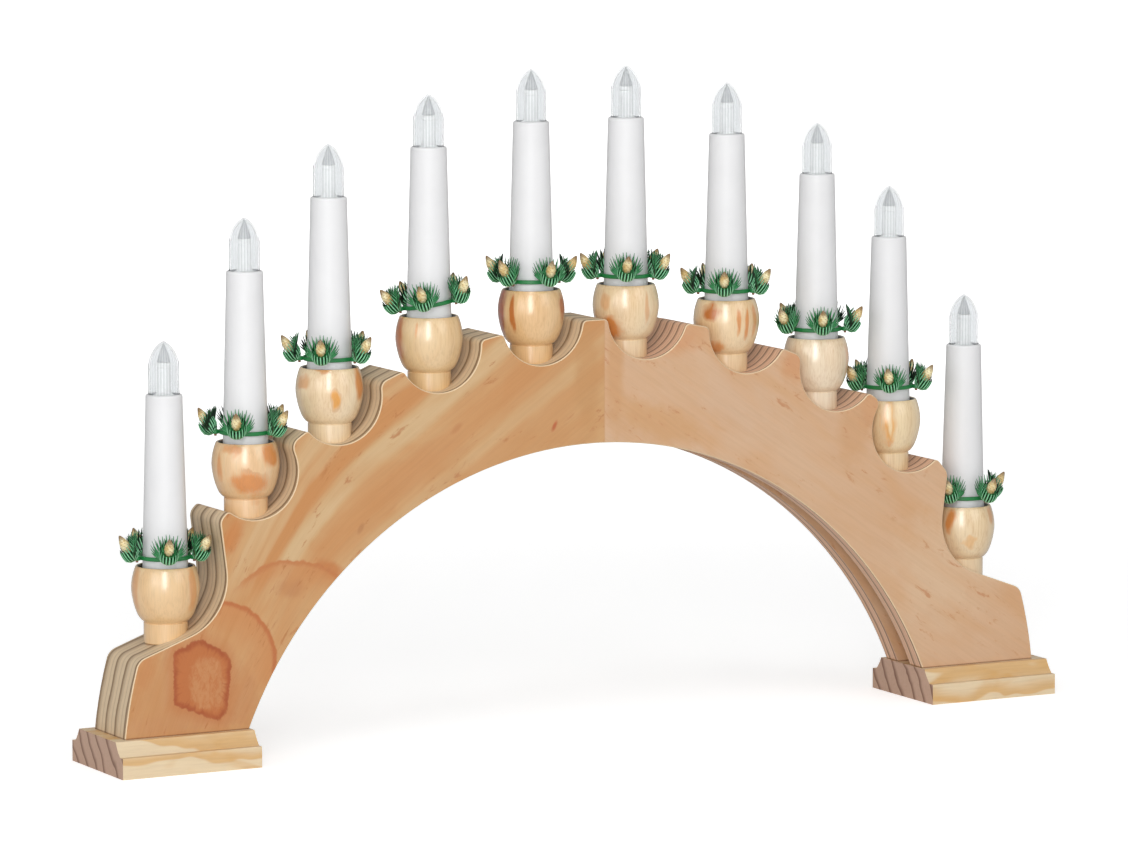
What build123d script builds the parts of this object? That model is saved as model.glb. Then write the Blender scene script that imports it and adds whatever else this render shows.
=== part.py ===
"""Wooden candle arch with ten electric candles, each with a turned cup and a wreath ring.

Millimetres. X runs along the arch, Y from front to back, Z up. The origin lies under the
middle of the arch, on the table. Each side of the arch is worked out on the right and
mirrored for the left, and the board is then parted where its two lengths are joined.
"""

import os
from math import atan2, cos, degrees, pi, radians, sin, sqrt, tan

from build123d import *

os.makedirs("parts", exist_ok=True)

# Feet: two lengths of moulding, cut square at the ends
foot_inner_x = 157.0
foot_length = 61.0
foot_depth = 50.0
foot_height = 14.2
plinth_height = 8.6
ledge_depth = 2.8
slant_depth = 4.2
slant_hollow = 0.4

# Arch board and its outline
board_depth = 30.0
crown_z = 171.5
crown_radius = 245.0
crown_end_x = 150.0
left_end_lobe_drop = 29.3
right_end_lobe_drop = 31.5
joint_x = 4.2
opening_top_z = 120.4
opening_radius = 170.5
leg_outer_x = 212.6
leg_bow_depth = 0.7
shoulder_x = 206.3
shoulder_slope = 20.0
wall_lean = 7.4
arris = 0.4

# Notches that the cups stand in, from the middle outwards, and the rounding of the lobes
notch_radius = 18.7
notch_offset = 2.4
end_notch_radius = 24.0
end_notch_x = 191.3
end_notch_z = 76.5
lobe_inner_round = 2.0
lobe_outer_rounds = (2.2, 2.5, 4.0, 4.5)
lobe_round_share = 0.48
end_lobe_round = 4.5
shoulder_round = 6.0

# Candle axes from the middle outwards. Each cup rim stands so far above the crown beside
# its wreath ring, on the side nearer the middle; the outermost rim goes by its own notch
left_candle_x = (22.0, 69.0, 114.2, 151.8, 187.6)
right_candle_x = (22.2, 70.0, 113.5, 148.8, 186.2)
ring_reach = 19.5
rim_rises = (12.61, 9.05, 4.54, -3.81)
end_rim_rise = 4.5

# Wiring groove on the underside and the bores that lead down to it
groove_width = 10.0
groove_depth = 12.0
wire_bore_radius = 3.2
bore_reach_share = 0.87
end_bore_outlet_z = 30.0

# Fastenings
dowel_radius = 4.0
dowel_length = 30.0
dowel_y = 7.5
dowel_z = 143.0
screw_radius = 1.9
screw_head_radius = 3.9
screw_head_height = 2.4
screw_length = 30.0
screw_recess = 0.5
screw_positions_x = (179.0, 203.0)
foot_screw_clearance = 0.3

# Turned cup, heights measured down from its rim
cup_height = 31.2
cup_rim_radius = 12.0
cup_lip = 0.4
cup_belly_radius = 13.8
cup_belly_drop = 9.0
cup_hip_radius = 11.7
cup_hip_drop = 18.8
cup_base_radius = 9.5
cup_base_drop = 22.2
cup_tuck = 0.35
neck_radius = 8.9
mouth_radius = 11.0
mouth_depth = 5.0
mouth_taper = 1.4
socket_depth = 16.0
socket_clearance = 0.1

# Candle sleeve, a slightly tapered plastic tube
sleeve_rise = 69.0
sleeve_rim_radius = 9.2
sleeve_top_radius = 7.4
sleeve_wall = 0.95
sleeve_shoulder = 0.8

# Lamp holder inside the sleeve
holder_drop = 3.0
holder_length = 20.0
holder_bore_radius = 4.95
holder_bore_depth = 12.5

# Screw-in lamp: clear lens over a metal base with a lamp stem
lens_radius = 6.25
lens_drop = 2.7
lens_straight_rise = 11.0
lens_shoulder_radius = 4.55
lens_shoulder_rise = 17.2
lens_tip_radius = 0.9
lens_rise = 21.3
lens_cavity_radius = 3.0
lens_cavity_rise = 11.6
lens_cavity_cone = 5.0
base_radius = 4.72
base_length = 8.6
base_cone_length = 1.4
contact_radius = 1.7
contact_length = 0.9
stem_radius = 2.4
stem_rise = 11.0

# Wreath ring: a band with five eyelets that the sprigs plug into
band_bore_radius = 9.6
band_wall = 1.2
band_height = 1.6
band_lift = 2.8
sprig_count = 5
eyelet_x = 12.1
eyelet_radius = 1.6
peg_radius = 0.7
peg_drop = 1.2
peg_sides = 6

# Sprig: levels of the needle bowl as height, outward place, half depth, half width and
# how far the outer side lies below the middle
needle_count = 12
needle_ridge_share = 1.0
needle_valley_share = 0.84
root_level = (1.75, 13.1, 1.1, 1.1, 0.0)
belly_level = (2.0, 15.1, 3.6, 4.1, 2.0)
rim_level = (5.2, 15.1, 4.2, 5.1, 1.8)
tip_level = (10.0, 15.0, 4.4, 5.8, 3.0)
inner_level = (5.6, 15.3, 3.3, 3.9, 1.8)
bowl_floor = (2.9, 15.1)

# Cone in each sprig: radius and place along its leaning axis
cone_foot = (14.9, 4.6)
cone_lean = 36.0
cone_stations = ((1.3, 0.0), (2.7, 2.2), (2.2, 4.8), (0.4, 8.0))
cone_sides = 8

# Turn of each ring about its candle, from left to right, how far it is pushed up or to
# the side, and the tilt of the ring that hangs askew on the fourth candle
ring_turns = (-108.0, -131.0, -130.0, -122.0, -155.0, -121.0, -124.0, -108.0, -114.0, -144.0)
ring_lifts = (0.0, 0.4, 0.0, 1.2, 0.0, 0.0, 0.0, 0.0, 1.8, 0.0)
ring_shifts = (-0.3, 0.0, 0.0, 0.0, 0.0, 0.0, 0.0, 0.0, 0.0, 0.45)
ring_askew = (False, False, False, True, False, False, False, False, False, False)
askew_tilt_angle = 9.5
askew_facing_angle = -118.0

# Jumper wires between neighbouring candles
wire_radius = 0.8
wire_side = 1.3
wire_soft_bend = 18.0
wire_bend = 4.0
wire_tight_bend = 2.4
wire_under = 4.0

# Shared clearances
seat_gap = 0.05
hole_gap = 0.1
overrun = 1.0



def height_on_circle(radius, centre_z, x):
    """Height at x of a circle about a centre on the Z axis."""
    return centre_z + sqrt(radius**2 - x**2)


# Derived places
half_depth = board_depth / 2
crown_centre_z = crown_z - crown_radius
opening_centre_z = opening_top_z - opening_radius
groove_radius = opening_radius + groove_depth
wire_track_radius = opening_radius + groove_depth / 2
rim_z = [
    height_on_circle(crown_radius, crown_centre_z, x - ring_reach) + rise
    for x, rise in zip(left_candle_x, rim_rises)
]
left_end_lobe_z = rim_z[-1] - left_end_lobe_drop
right_end_lobe_z = rim_z[-1] - right_end_lobe_drop
rim_z.append(end_notch_z + end_rim_rise)
seat_z = [z - cup_height for z in rim_z]
notch_z = [z + overrun + notch_radius for z in seat_z]
socket_radius = sleeve_rim_radius + (sleeve_rim_radius - sleeve_top_radius) * (
    socket_depth / sleeve_rise
) + socket_clearance


def sleeve_outer(z):
    """Outer radius of the sleeve at a height above the cup rim."""
    taper = (sleeve_rim_radius - sleeve_top_radius) / sleeve_rise
    return sleeve_rim_radius - taper * z


def circle_meets(centre_a, radius_a, centre_b, radius_b):
    """Both points where two circles cross, sorted by x."""
    dx, dz = centre_b[0] - centre_a[0], centre_b[1] - centre_a[1]
    gap = sqrt(dx**2 + dz**2)
    along = (radius_a**2 - radius_b**2 + gap**2) / (2 * gap)
    across = sqrt(radius_a**2 - along**2)
    foot = (centre_a[0] + along * dx / gap, centre_a[1] + along * dz / gap)
    ends = [
        (foot[0] + side * across * dz / gap, foot[1] - side * across * dx / gap)
        for side in (-1, 1)
    ]
    return sorted(ends)


def line_meets_circle(start, end, centre, radius):
    """The outer point where a line from start to end crosses a circle."""
    dx, dz = end[0] - start[0], end[1] - start[1]
    length = sqrt(dx**2 + dz**2)
    ux, uz = dx / length, dz / length
    to_x, to_z = centre[0] - start[0], centre[1] - start[1]
    along = to_x * ux + to_z * uz
    off = to_x * uz - to_z * ux
    reach = along + sqrt(radius**2 - off**2)
    return start[0] + reach * ux, start[1] + reach * uz


def upright(radius, height, x, z):
    """Upright cylinder on the arch's mid plane, standing at z."""
    return Pos(x, 0, z) * Cylinder(radius, height, align=(Align.CENTER, Align.CENTER, Align.MIN))


def turned(outline):
    """Solid turned about Z from a closed outline of edges in the XZ plane."""
    face = make_face(outline)
    return revolve(face, Axis.Z)


def path_edges(points):
    """Straight edges through points in the XZ plane, given as radius and height."""
    corners = [(r, 0, z) for r, z in points]
    return [Line(a, b) for a, b in zip(corners, corners[1:])]


# Foot: one profile run along X, with clearance holes and countersinks for the screws
def make_foot():
    half = foot_depth / 2
    step_y = half - ledge_depth
    top_y = step_y - slant_depth
    slant_mid = ((step_y + top_y) / 2 - slant_hollow, (plinth_height + foot_height) / 2)
    start_x = foot_inner_x
    points = {
        "base": (start_x, half, 0),
        "plinth": (start_x, half, plinth_height),
        "ledge": (start_x, step_y, plinth_height),
        "slant": (start_x, slant_mid[0], slant_mid[1]),
        "top": (start_x, top_y, foot_height),
    }
    mirror_point = {name: (x, -y, z) for name, (x, y, z) in points.items()}
    outline = [
        Line(points["base"], points["plinth"]),
        Line(points["plinth"], points["ledge"]),
        ThreePointArc(points["ledge"], points["slant"], points["top"]),
        Line(points["top"], mirror_point["top"]),
        ThreePointArc(mirror_point["top"], mirror_point["slant"], mirror_point["ledge"]),
        Line(mirror_point["ledge"], mirror_point["plinth"]),
        Line(mirror_point["plinth"], mirror_point["base"]),
        Line(mirror_point["base"], points["base"]),
    ]
    body = extrude(make_face(outline), amount=foot_length, dir=(1, 0, 0))
    for x in screw_positions_x:
        body -= upright(screw_radius + foot_screw_clearance, foot_height + overrun, x, 0)
        body -= upright(screw_head_radius + hole_gap, screw_recess, x, 0)
        body -= Pos(x, 0, screw_recess + screw_head_height / 2) * Cone(
            screw_head_radius + hole_gap, screw_radius + foot_screw_clearance, screw_head_height
        )
    return body.solid()


# Arch side: scalloped outline, wiring groove, cup seats, wire bores and screw holes
def arch_outline(end_lobe_z):
    """Edges of one side's outline before the inner notches are cut, and its corners."""
    lean, slope = radians(wall_lean), radians(shoulder_slope)
    centre = (end_notch_x, end_notch_z)
    wall = (centre[0] - end_notch_radius * cos(lean), centre[1] + end_notch_radius * sin(lean))
    end_lobe = (wall[0] + (end_lobe_z - wall[1]) * tan(lean), end_lobe_z)
    low = (centre[0] - end_notch_radius * sin(slope), centre[1] - end_notch_radius * cos(slope))
    middle = (radians(180) - lean + radians(270) - slope) / 2
    turn = (centre[0] + end_notch_radius * cos(middle), centre[1] + end_notch_radius * sin(middle))
    shoulder = (shoulder_x, low[1] - (shoulder_x - low[0]) * tan(slope))
    leg = (leg_outer_x, foot_height)
    leg_mid = ((shoulder[0] + leg[0]) / 2 + leg_bow_depth, (shoulder[1] + leg[1]) / 2)
    opening_x = sqrt(opening_radius**2 - (foot_height - opening_centre_z) ** 2)
    opening_mid_x = opening_x * sin(pi / 4)
    crown_end = (crown_end_x, height_on_circle(crown_radius, crown_centre_z, crown_end_x))
    crown_mid = (crown_end_x / 2, height_on_circle(crown_radius, crown_centre_z, crown_end_x / 2))
    opening_mid = (
        opening_mid_x,
        height_on_circle(opening_radius, opening_centre_z, opening_mid_x),
    )

    def at(point):
        return (point[0], 0, point[1])

    edges = [
        Line(at((0, opening_top_z)), at((0, crown_z))),
        ThreePointArc(at((0, crown_z)), at(crown_mid), at(crown_end)),
        Line(at(crown_end), at(end_lobe)),
        Line(at(end_lobe), at(wall)),
        ThreePointArc(at(wall), at(turn), at(low)),
        Line(at(low), at(shoulder)),
        ThreePointArc(at(shoulder), at(leg_mid), at(leg)),
        Line(at(leg), at((opening_x, foot_height))),
        ThreePointArc(at((opening_x, foot_height)), at(opening_mid), at((0, opening_top_z))),
    ]
    return edges, crown_end, end_lobe, shoulder


def make_arch_side(candle_x, end_lobe_z):
    edges, crown_end, end_lobe, shoulder = arch_outline(end_lobe_z)
    board = extrude(make_face(edges), amount=half_depth, dir=(0, 1, 0), both=True)
    rounds = [(end_lobe, end_lobe_round), (shoulder, shoulder_round)]
    lobe_start = (0, crown_z)
    for i, x in enumerate(candle_x[:-1]):
        centre = (x + notch_offset, notch_z[i])
        cutter = Cylinder(notch_radius, board_depth + overrun, rotation=(90, 0, 0))
        board -= Pos(centre[0], 0, centre[1]) * cutter
        inner, outer = circle_meets((0, crown_centre_z), crown_radius, centre, notch_radius)
        if outer[0] > crown_end[0]:
            outer = line_meets_circle(crown_end, end_lobe, centre, notch_radius)
        lobe_width = sqrt((inner[0] - lobe_start[0]) ** 2 + (inner[1] - lobe_start[1]) ** 2)
        rounds += [(inner, min(lobe_outer_rounds[i], lobe_round_share * lobe_width))]
        rounds += [(outer, lobe_inner_round)]
        lobe_start = outer
    for corner, radius in rounds:
        near = board.edges().filter_by(Axis.Y).sort_by_distance((corner[0], 0, corner[1]))
        board = fillet(near[0], radius)
    faces = board.faces().filter_by(Axis.Y)
    rim_edges = [e for e in faces.edges() if e.center().X > overrun and e.center().Z > foot_height + overrun]
    board = chamfer(rim_edges, arris)
    groove = Cylinder(groove_radius, groove_width, rotation=(90, 0, 0))
    board -= Pos(0, 0, opening_centre_z) * groove
    for i, x in enumerate(candle_x):
        board -= upright(neck_radius + seat_gap, notch_radius / 2 + overrun, x, seat_z[i])
        outlet = end_bore_outlet() if i == len(candle_x) - 1 else track_point(bore_foot_x(x))
        board -= wire_bore((x, seat_z[i] + overrun), outlet)
    for x in screw_positions_x:
        depth = screw_recess + screw_length - foot_height
        board -= upright(screw_radius + seat_gap, depth + overrun, x, foot_height)
    return board


def make_arch():
    """The two lengths of board, left and right, with the dowel holes across their joint."""
    left = mirror(make_arch_side(left_candle_x, left_end_lobe_z), Plane.YZ)
    arch = left + make_arch_side(right_candle_x, right_end_lobe_z)
    hole = Cylinder(dowel_radius + seat_gap, dowel_length + overrun, rotation=(0, 90, 0))
    for side in (-1, 1):
        arch -= Pos(joint_x, side * dowel_y, dowel_z) * hole
    seam = Plane.YZ.offset(joint_x)
    return [split(arch, bisect_by=seam, keep=keep).solid() for keep in (Keep.BOTTOM, Keep.TOP)]


def track_point(x):
    """Place at x on the middle line of the groove."""
    return (x, height_on_circle(wire_track_radius, opening_centre_z, x))


def bore_foot_x(x):
    """Where a bore meets the groove: straight below, or further in where the groove falls away."""
    return min(x, bore_reach_share * wire_track_radius)


def end_bore_outlet():
    """Place in the groove where the slanting bore of the outermost candle comes out."""
    drop = end_bore_outlet_z - opening_centre_z
    return sqrt(wire_track_radius**2 - drop**2), end_bore_outlet_z


def wire_bore(top, outlet):
    """Bore from a seat to its outlet in the groove, upright or slanting."""
    dx, dz = top[0] - outlet[0], top[1] - outlet[1]
    length = sqrt(dx**2 + dz**2)
    plane = Plane(origin=(outlet[0], 0, outlet[1]), x_dir=(0, 1, 0), z_dir=(dx, 0, dz))
    bore = Cylinder(wire_bore_radius, length, align=(Align.CENTER, Align.CENTER, Align.MIN))
    return plane * bore


# Fastenings: centre dowels and countersunk foot screws
def make_dowels():
    dowel = Cylinder(dowel_radius, dowel_length, rotation=(0, 90, 0))
    dowel = chamfer(dowel.edges(), overrun / 2)
    return [(Pos(joint_x, side * dowel_y, dowel_z) * dowel).solid() for side in (-1, 1)]


def make_screw():
    point_length = 2 * screw_radius
    shank_end = screw_recess + screw_length - point_length
    head_top = screw_recess + screw_head_height
    outline = path_edges(
        [
            (0, screw_recess),
            (screw_head_radius, screw_recess),
            (screw_radius, head_top),
            (screw_radius, shank_end),
            (0, shank_end + point_length),
            (0, screw_recess),
        ]
    )
    return turned(outline).solid()


# Turned cup: ball, tuck and neck outside, mouth, sleeve socket and wire bore inside
def make_cup():
    hip_z, base_z = -cup_hip_drop, -cup_base_drop
    bend_r = (cup_hip_radius + cup_base_radius) / 2 + cup_tuck
    bend_z = (hip_z + base_z) / 2 - cup_tuck
    lip_r = cup_rim_radius - cup_lip
    ball = [
        ThreePointArc(
            (cup_rim_radius, 0, -cup_lip),
            (cup_belly_radius, 0, -cup_belly_drop),
            (cup_hip_radius, 0, hip_z),
        ),
        ThreePointArc(
            (cup_hip_radius, 0, hip_z), (bend_r, 0, bend_z), (cup_base_radius, 0, base_z)
        ),
    ]
    below = path_edges(
        [
            (cup_base_radius, base_z),
            (neck_radius, base_z - cup_tuck),
            (neck_radius, -cup_height),
            (wire_bore_radius, -cup_height),
            (wire_bore_radius, -socket_depth),
            (socket_radius, -socket_depth),
            (socket_radius, -mouth_depth - mouth_taper),
            (mouth_radius, -mouth_depth),
            (mouth_radius, 0),
            (lip_r, 0),
            (cup_rim_radius, -cup_lip),
        ]
    )
    return turned(ball + below).solid()


# Sleeve: tapered tube with a rounded top edge, standing on the socket floor
def make_sleeve():
    bottom = -socket_depth
    low_r, top_r = sleeve_outer(bottom), sleeve_outer(sleeve_rise)
    outline = path_edges(
        [
            (low_r, bottom),
            (top_r, sleeve_rise),
            (top_r - sleeve_wall, sleeve_rise),
            (low_r - sleeve_wall, bottom),
            (low_r, bottom),
        ]
    )
    tube = turned(outline)
    circles = tube.edges().filter_by(GeomType.CIRCLE)
    top_edge = circles.group_by(Axis.Z)[-1].sort_by(SortBy.RADIUS)[-1]
    return fillet(top_edge, sleeve_shoulder).solid()


# Lamp holder: tapered body that wedges in the sleeve, with the lamp's bore
def make_holder():
    top = sleeve_rise - holder_drop
    bottom = top - holder_length
    fit = sleeve_wall + seat_gap
    outline = path_edges(
        [
            (0, bottom),
            (sleeve_outer(bottom) - fit, bottom),
            (sleeve_outer(top) - fit, top),
            (holder_bore_radius, top),
            (holder_bore_radius, top - holder_bore_depth),
            (0, top - holder_bore_depth),
            (0, bottom),
        ]
    )
    return turned(outline).solid()


# Lamp lens: straight sides, pointed dome and a cavity over the lamp stem
def make_lens():
    bottom = sleeve_rise - lens_drop
    straight = sleeve_rise + lens_straight_rise
    tip_z = sleeve_rise + lens_rise
    cavity_z = sleeve_rise + lens_cavity_rise
    dome = [
        ThreePointArc(
            (lens_radius, 0, straight),
            (lens_shoulder_radius, 0, sleeve_rise + lens_shoulder_rise),
            (lens_tip_radius, 0, tip_z - lens_tip_radius / 2),
        )
    ]
    rest = path_edges(
        [
            (lens_tip_radius, tip_z - lens_tip_radius / 2),
            (0, tip_z),
            (0, cavity_z + lens_cavity_cone),
            (lens_cavity_radius, cavity_z),
            (lens_cavity_radius, bottom),
            (lens_radius, bottom),
            (lens_radius, straight),
        ]
    )
    return turned(dome + rest).solid()


# Lamp base: screw shell, contact and the stem that carries the light source
def make_base():
    top = sleeve_rise - lens_drop - seat_gap
    shell_end = top - base_length
    cone_end = shell_end - base_cone_length
    outline = path_edges(
        [
            (0, cone_end - contact_length),
            (contact_radius, cone_end - contact_length),
            (contact_radius, cone_end),
            (base_radius, shell_end),
            (base_radius, top),
            (stem_radius, top),
            (stem_radius, sleeve_rise + stem_rise),
            (0, sleeve_rise + stem_rise),
            (0, cone_end - contact_length),
        ]
    )
    return turned(outline).solid()


# Wreath band with its eyelets, lying flat about the candle axis with its foot at zero
def make_band():
    outer = band_bore_radius + band_wall
    base = (Align.CENTER, Align.CENTER, Align.MIN)
    band = Cylinder(outer, band_height, align=base)
    eyelet = Cylinder(eyelet_radius, band_height, align=base)
    hole = Cylinder(peg_radius + hole_gap, band_height + overrun, align=base)
    for turn in sprig_angles():
        band += Rot(0, 0, turn) * Pos(eyelet_x, 0, 0) * eyelet
    band -= Cylinder(band_bore_radius, band_height + overrun, align=base)
    for turn in sprig_angles():
        band -= Rot(0, 0, turn) * Pos(eyelet_x, 0, -overrun / 2) * hole
    return band.solid()


def sprig_angles():
    return [360 * i / sprig_count for i in range(sprig_count)]


# Sprig: a bowl of needles made face by face, one ridge and one point to each needle
def level_point(level, angle, share=1.0):
    height, place, half_x, half_y, fall = level
    x = place + share * half_x * cos(angle)
    return Vector(x, share * half_y * sin(angle), height - fall * cos(angle))


def make_sprig():
    step = 2 * pi / needle_count
    ridge = [level_point(rim_level, i * step, needle_ridge_share) for i in range(needle_count)]
    point = [level_point(tip_level, i * step) for i in range(needle_count)]
    back = [level_point(inner_level, i * step) for i in range(needle_count)]
    half_turns = [(i + 1 / 2) * step for i in range(needle_count)]
    valley = [level_point(rim_level, a, needle_valley_share) for a in half_turns]
    belly = [level_point(belly_level, i * step, needle_ridge_share) for i in range(needle_count)]
    crease = [level_point(belly_level, a, needle_valley_share) for a in half_turns]
    root = [level_point(root_level, a) for a in half_turns]
    floor = Vector(bowl_floor[1], 0, bowl_floor[0])
    under = Vector(root_level[1], 0, root_level[0])
    triangles = []
    for i in range(needle_count):
        left = i - 1
        triangles += [
            (under, root[left], root[i]),
            (root[left], belly[i], root[i]),
            (root[left], crease[left], belly[i]),
            (root[i], belly[i], crease[i]),
            (crease[left], valley[left], belly[i]),
            (belly[i], valley[i], crease[i]),
            (belly[i], valley[left], ridge[i]),
            (belly[i], ridge[i], valley[i]),
            (ridge[i], valley[left], point[i]),
            (ridge[i], point[i], valley[i]),
            (back[i], point[i], valley[left]),
            (back[i], valley[i], point[i]),
            (back[i], valley[left], floor),
            (back[i], floor, valley[i]),
        ]
    faces = [Face(Wire.make_polygon(corners, close=True)) for corners in triangles]
    bowl = Solid(Shell(faces))
    peg_length = root_level[0] + peg_drop + overrun / 2
    peg = extrude(RegularPolygon(peg_radius, peg_sides), amount=peg_length)
    return (bowl + Pos(eyelet_x, 0, -peg_drop) * peg).solid()


# Cone: a faceted bud that leans outwards in its bowl
def make_cone():
    sections = []
    for radius, along in cone_stations:
        sections.append(Pos(0, 0, along) * RegularPolygon(radius, cone_sides))
    bud = loft(sections, ruled=True)
    return (Pos(cone_foot[0], 0, cone_foot[1]) * Rot(0, cone_lean, 0) * bud).solid()


# Jumper wires: down one candle, along the groove and up the next
def holder_bottom(i):
    return rim_z[i] + sleeve_rise - holder_drop - holder_length


def tight_corner(x, slope_x):
    """Two points of the turn up into a bore, for a wire that comes down the groove."""
    slope = atan2(slope_x, height_on_circle(wire_track_radius, 0, slope_x))
    half = (pi / 2 + slope) / 2
    run = 2 * wire_tight_bend * tan(half / 2) + wire_radius
    up = (x, height_on_circle(groove_radius, opening_centre_z, slope_x) - wire_under)
    heading = half - slope
    return [(up[0] - run * cos(heading), up[1] - run * sin(heading)), up]


def jumper(points, radii):
    path = FilletPolyline(*[(x, 0, z) for x, z in points], radius=radii)
    start = Plane(origin=path @ 0, z_dir=path % 0)
    wire = sweep(start * Circle(wire_radius), path=path).solid()
    share = wire.volume / (pi * wire_radius**2 * path.length)
    print("wire", round(path.length), "mm long, volume over section times length", round(share, 4))
    return wire


def way_down(i, x):
    """Points and bends of a wire from holder i down to the groove."""
    start_x = x + wire_side
    foot_x = bore_foot_x(x)
    slant = [(start_x, seat_z[i])] if foot_x < x else []
    points = [(start_x, holder_bottom(i))] + slant + [track_point(foot_x + wire_side)]
    return points, [wire_bend] * (len(points) - 1)


def way_up(i, x):
    """Points and bends of a wire from the groove up to holder i."""
    end_x = x - wire_side
    foot_x = bore_foot_x(x)
    if foot_x < x:
        points = [track_point(foot_x - wire_side), (end_x, seat_z[i])]
    else:
        points = tight_corner(end_x, x)
    return points + [(end_x, holder_bottom(i))], [wire_tight_bend] * len(points)


def half_jumpers(candle_x):
    """The four jumpers of one half, the outermost by way of the slanting bore."""
    wires = []
    for i in range(len(candle_x) - 2):
        down, down_bends = way_down(i, candle_x[i])
        up, up_bends = way_up(i + 1, candle_x[i + 1])
        middle_x = (bore_foot_x(candle_x[i]) + bore_foot_x(candle_x[i + 1])) / 2
        wires.append(jumper(down + [track_point(middle_x)] + up, down_bends + [wire_soft_bend] + up_bends))
    down, down_bends = way_down(len(candle_x) - 2, candle_x[-2])
    end_x = candle_x[-1]
    up = [end_bore_outlet(), (end_x, seat_z[-1]), (end_x, holder_bottom(-1))]
    wires.append(jumper(down + up, down_bends + [wire_tight_bend, wire_bend]))
    return wires


def centre_jumper():
    left, right = wire_side - left_candle_x[0], right_candle_x[0] - wire_side
    low = track_point(0)[1]
    points = [(left, holder_bottom(0)), (left, low), (right, low), (right, holder_bottom(0))]
    return jumper(points, [wire_bend, wire_bend])


# Assembly: every node is written once, numbered from the left
def write(name, solids):
    export_step(Compound(children=list(solids)), f"parts/{name}.step")


def candle_places():
    """Axis x and cup rim height of the ten candles, from left to right."""
    left = [(-x, z) for x, z in zip(left_candle_x, rim_z)]
    right = list(zip(right_candle_x, rim_z))
    return left[::-1] + right


def ring_place(i, x, z):
    """Where ring i lies: turned about its candle, and askew on one of them."""
    place = Pos(x + ring_shifts[i], 0, z + band_lift + ring_lifts[i])
    if ring_askew[i]:
        place *= Rot(0, 0, askew_facing_angle) * Rot(askew_tilt_angle, 0, 0) * Rot(0, 0, -askew_facing_angle)
    return place * Rot(0, 0, ring_turns[i])


foot = make_foot()
write("foot_right", [foot])
write("foot_left", [mirror(foot, Plane.YZ)])
arch_left, arch_right = make_arch()
write("arch_left", [arch_left])
write("arch_right", [arch_right])
write("arch_dowels", make_dowels())

screw = make_screw()
screw_x = [side * x for side in (-1, 1) for x in screw_positions_x]
write("foot_screws", [Pos(x, 0, 0) * screw for x in screw_x])

left_wires = [mirror(wire, Plane.YZ) for wire in half_jumpers(left_candle_x)]
write("jumper_wires", left_wires[::-1] + [centre_jumper()] + half_jumpers(right_candle_x))

cup, sleeve, holder = make_cup(), make_sleeve(), make_holder()
lens, base, band = make_lens(), make_base(), make_band()
sprig, cone = make_sprig(), make_cone()
print("sprig faces", len(sprig.faces()), "valid", sprig.is_valid)

places = candle_places()
write("candle_sleeves", [Pos(x, 0, z) * sleeve for x, z in places])
write("lamp_holders", [Pos(x, 0, z) * holder for x, z in places])
write("turned_cups", [Pos(x, 0, z) * cup for x, z in places])
for i, (x, z) in enumerate(places):
    number = f"{i + 1:02d}"
    ring = ring_place(i, x, z)
    turns = [ring * Rot(0, 0, turn) for turn in sprig_angles()]
    write(f"bulb_lens_{number}", [Pos(x, 0, z) * lens])
    write(f"bulb_base_{number}", [Pos(x, 0, z) * base])
    write(f"wreath_band_{number}", [ring * band])
    write(f"wreath_sprigs_{number}", [turn * sprig for turn in turns])
    write(f"wreath_cones_{number}", [turn * cone for turn in turns])
print("overall height", round(rim_z[0] + sleeve_rise + lens_rise, 1))
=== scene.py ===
# %% [markdown]
# # Dressing a wooden candle arch
# The CAD model of the arch is loaded as a fixed frame, in metres, with X along the arch, Y
# from front to back and Z up. Its own solids keep their place. Here they get their wood,
# plastic and metal, and the pieces that need finer forms are modelled anew in their own
# place: foot screws, turned cups, lamps, needle sprigs and their little cones.

# %% Load the frame
from math import atan2, cos, pi, radians, sin, sqrt

import bpy
from mathutils import Matrix, Vector


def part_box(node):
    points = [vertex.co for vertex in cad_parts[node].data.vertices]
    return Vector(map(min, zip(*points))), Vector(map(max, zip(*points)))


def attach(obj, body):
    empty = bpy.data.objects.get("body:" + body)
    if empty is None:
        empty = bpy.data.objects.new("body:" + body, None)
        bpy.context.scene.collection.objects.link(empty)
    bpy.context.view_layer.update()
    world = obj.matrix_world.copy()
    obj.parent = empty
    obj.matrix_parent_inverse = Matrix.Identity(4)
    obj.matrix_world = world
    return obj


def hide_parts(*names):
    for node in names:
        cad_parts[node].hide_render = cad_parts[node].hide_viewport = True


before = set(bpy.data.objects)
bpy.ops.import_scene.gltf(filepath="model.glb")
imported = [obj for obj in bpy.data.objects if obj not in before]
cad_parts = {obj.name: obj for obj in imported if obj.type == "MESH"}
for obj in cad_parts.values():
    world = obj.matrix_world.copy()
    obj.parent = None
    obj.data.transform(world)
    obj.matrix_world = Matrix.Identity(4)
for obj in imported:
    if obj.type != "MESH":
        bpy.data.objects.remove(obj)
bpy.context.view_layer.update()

bpy.ops.object.select_all(action="DESELECT")
MM = 0.001

# %% [markdown]
# ## The camera
# The photograph is taken from the left and slightly above, from far off with a long lens,
# which is why the two feet look almost the same size. The camera's place and lens were
# found by fitting the cups, feet and lamps, so that each falls on its own pixel.

# %% Camera
PHOTO_SIZE = (1128, 846)
FOCAL_PIXELS = 6414.0
SENSOR_MM = 36.0
CAMERA_PLACE = Vector((-1.2382, -2.3205, 0.4634))
CAMERA_TARGET = Vector((-0.00673, 0.0, 0.1275))

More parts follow.
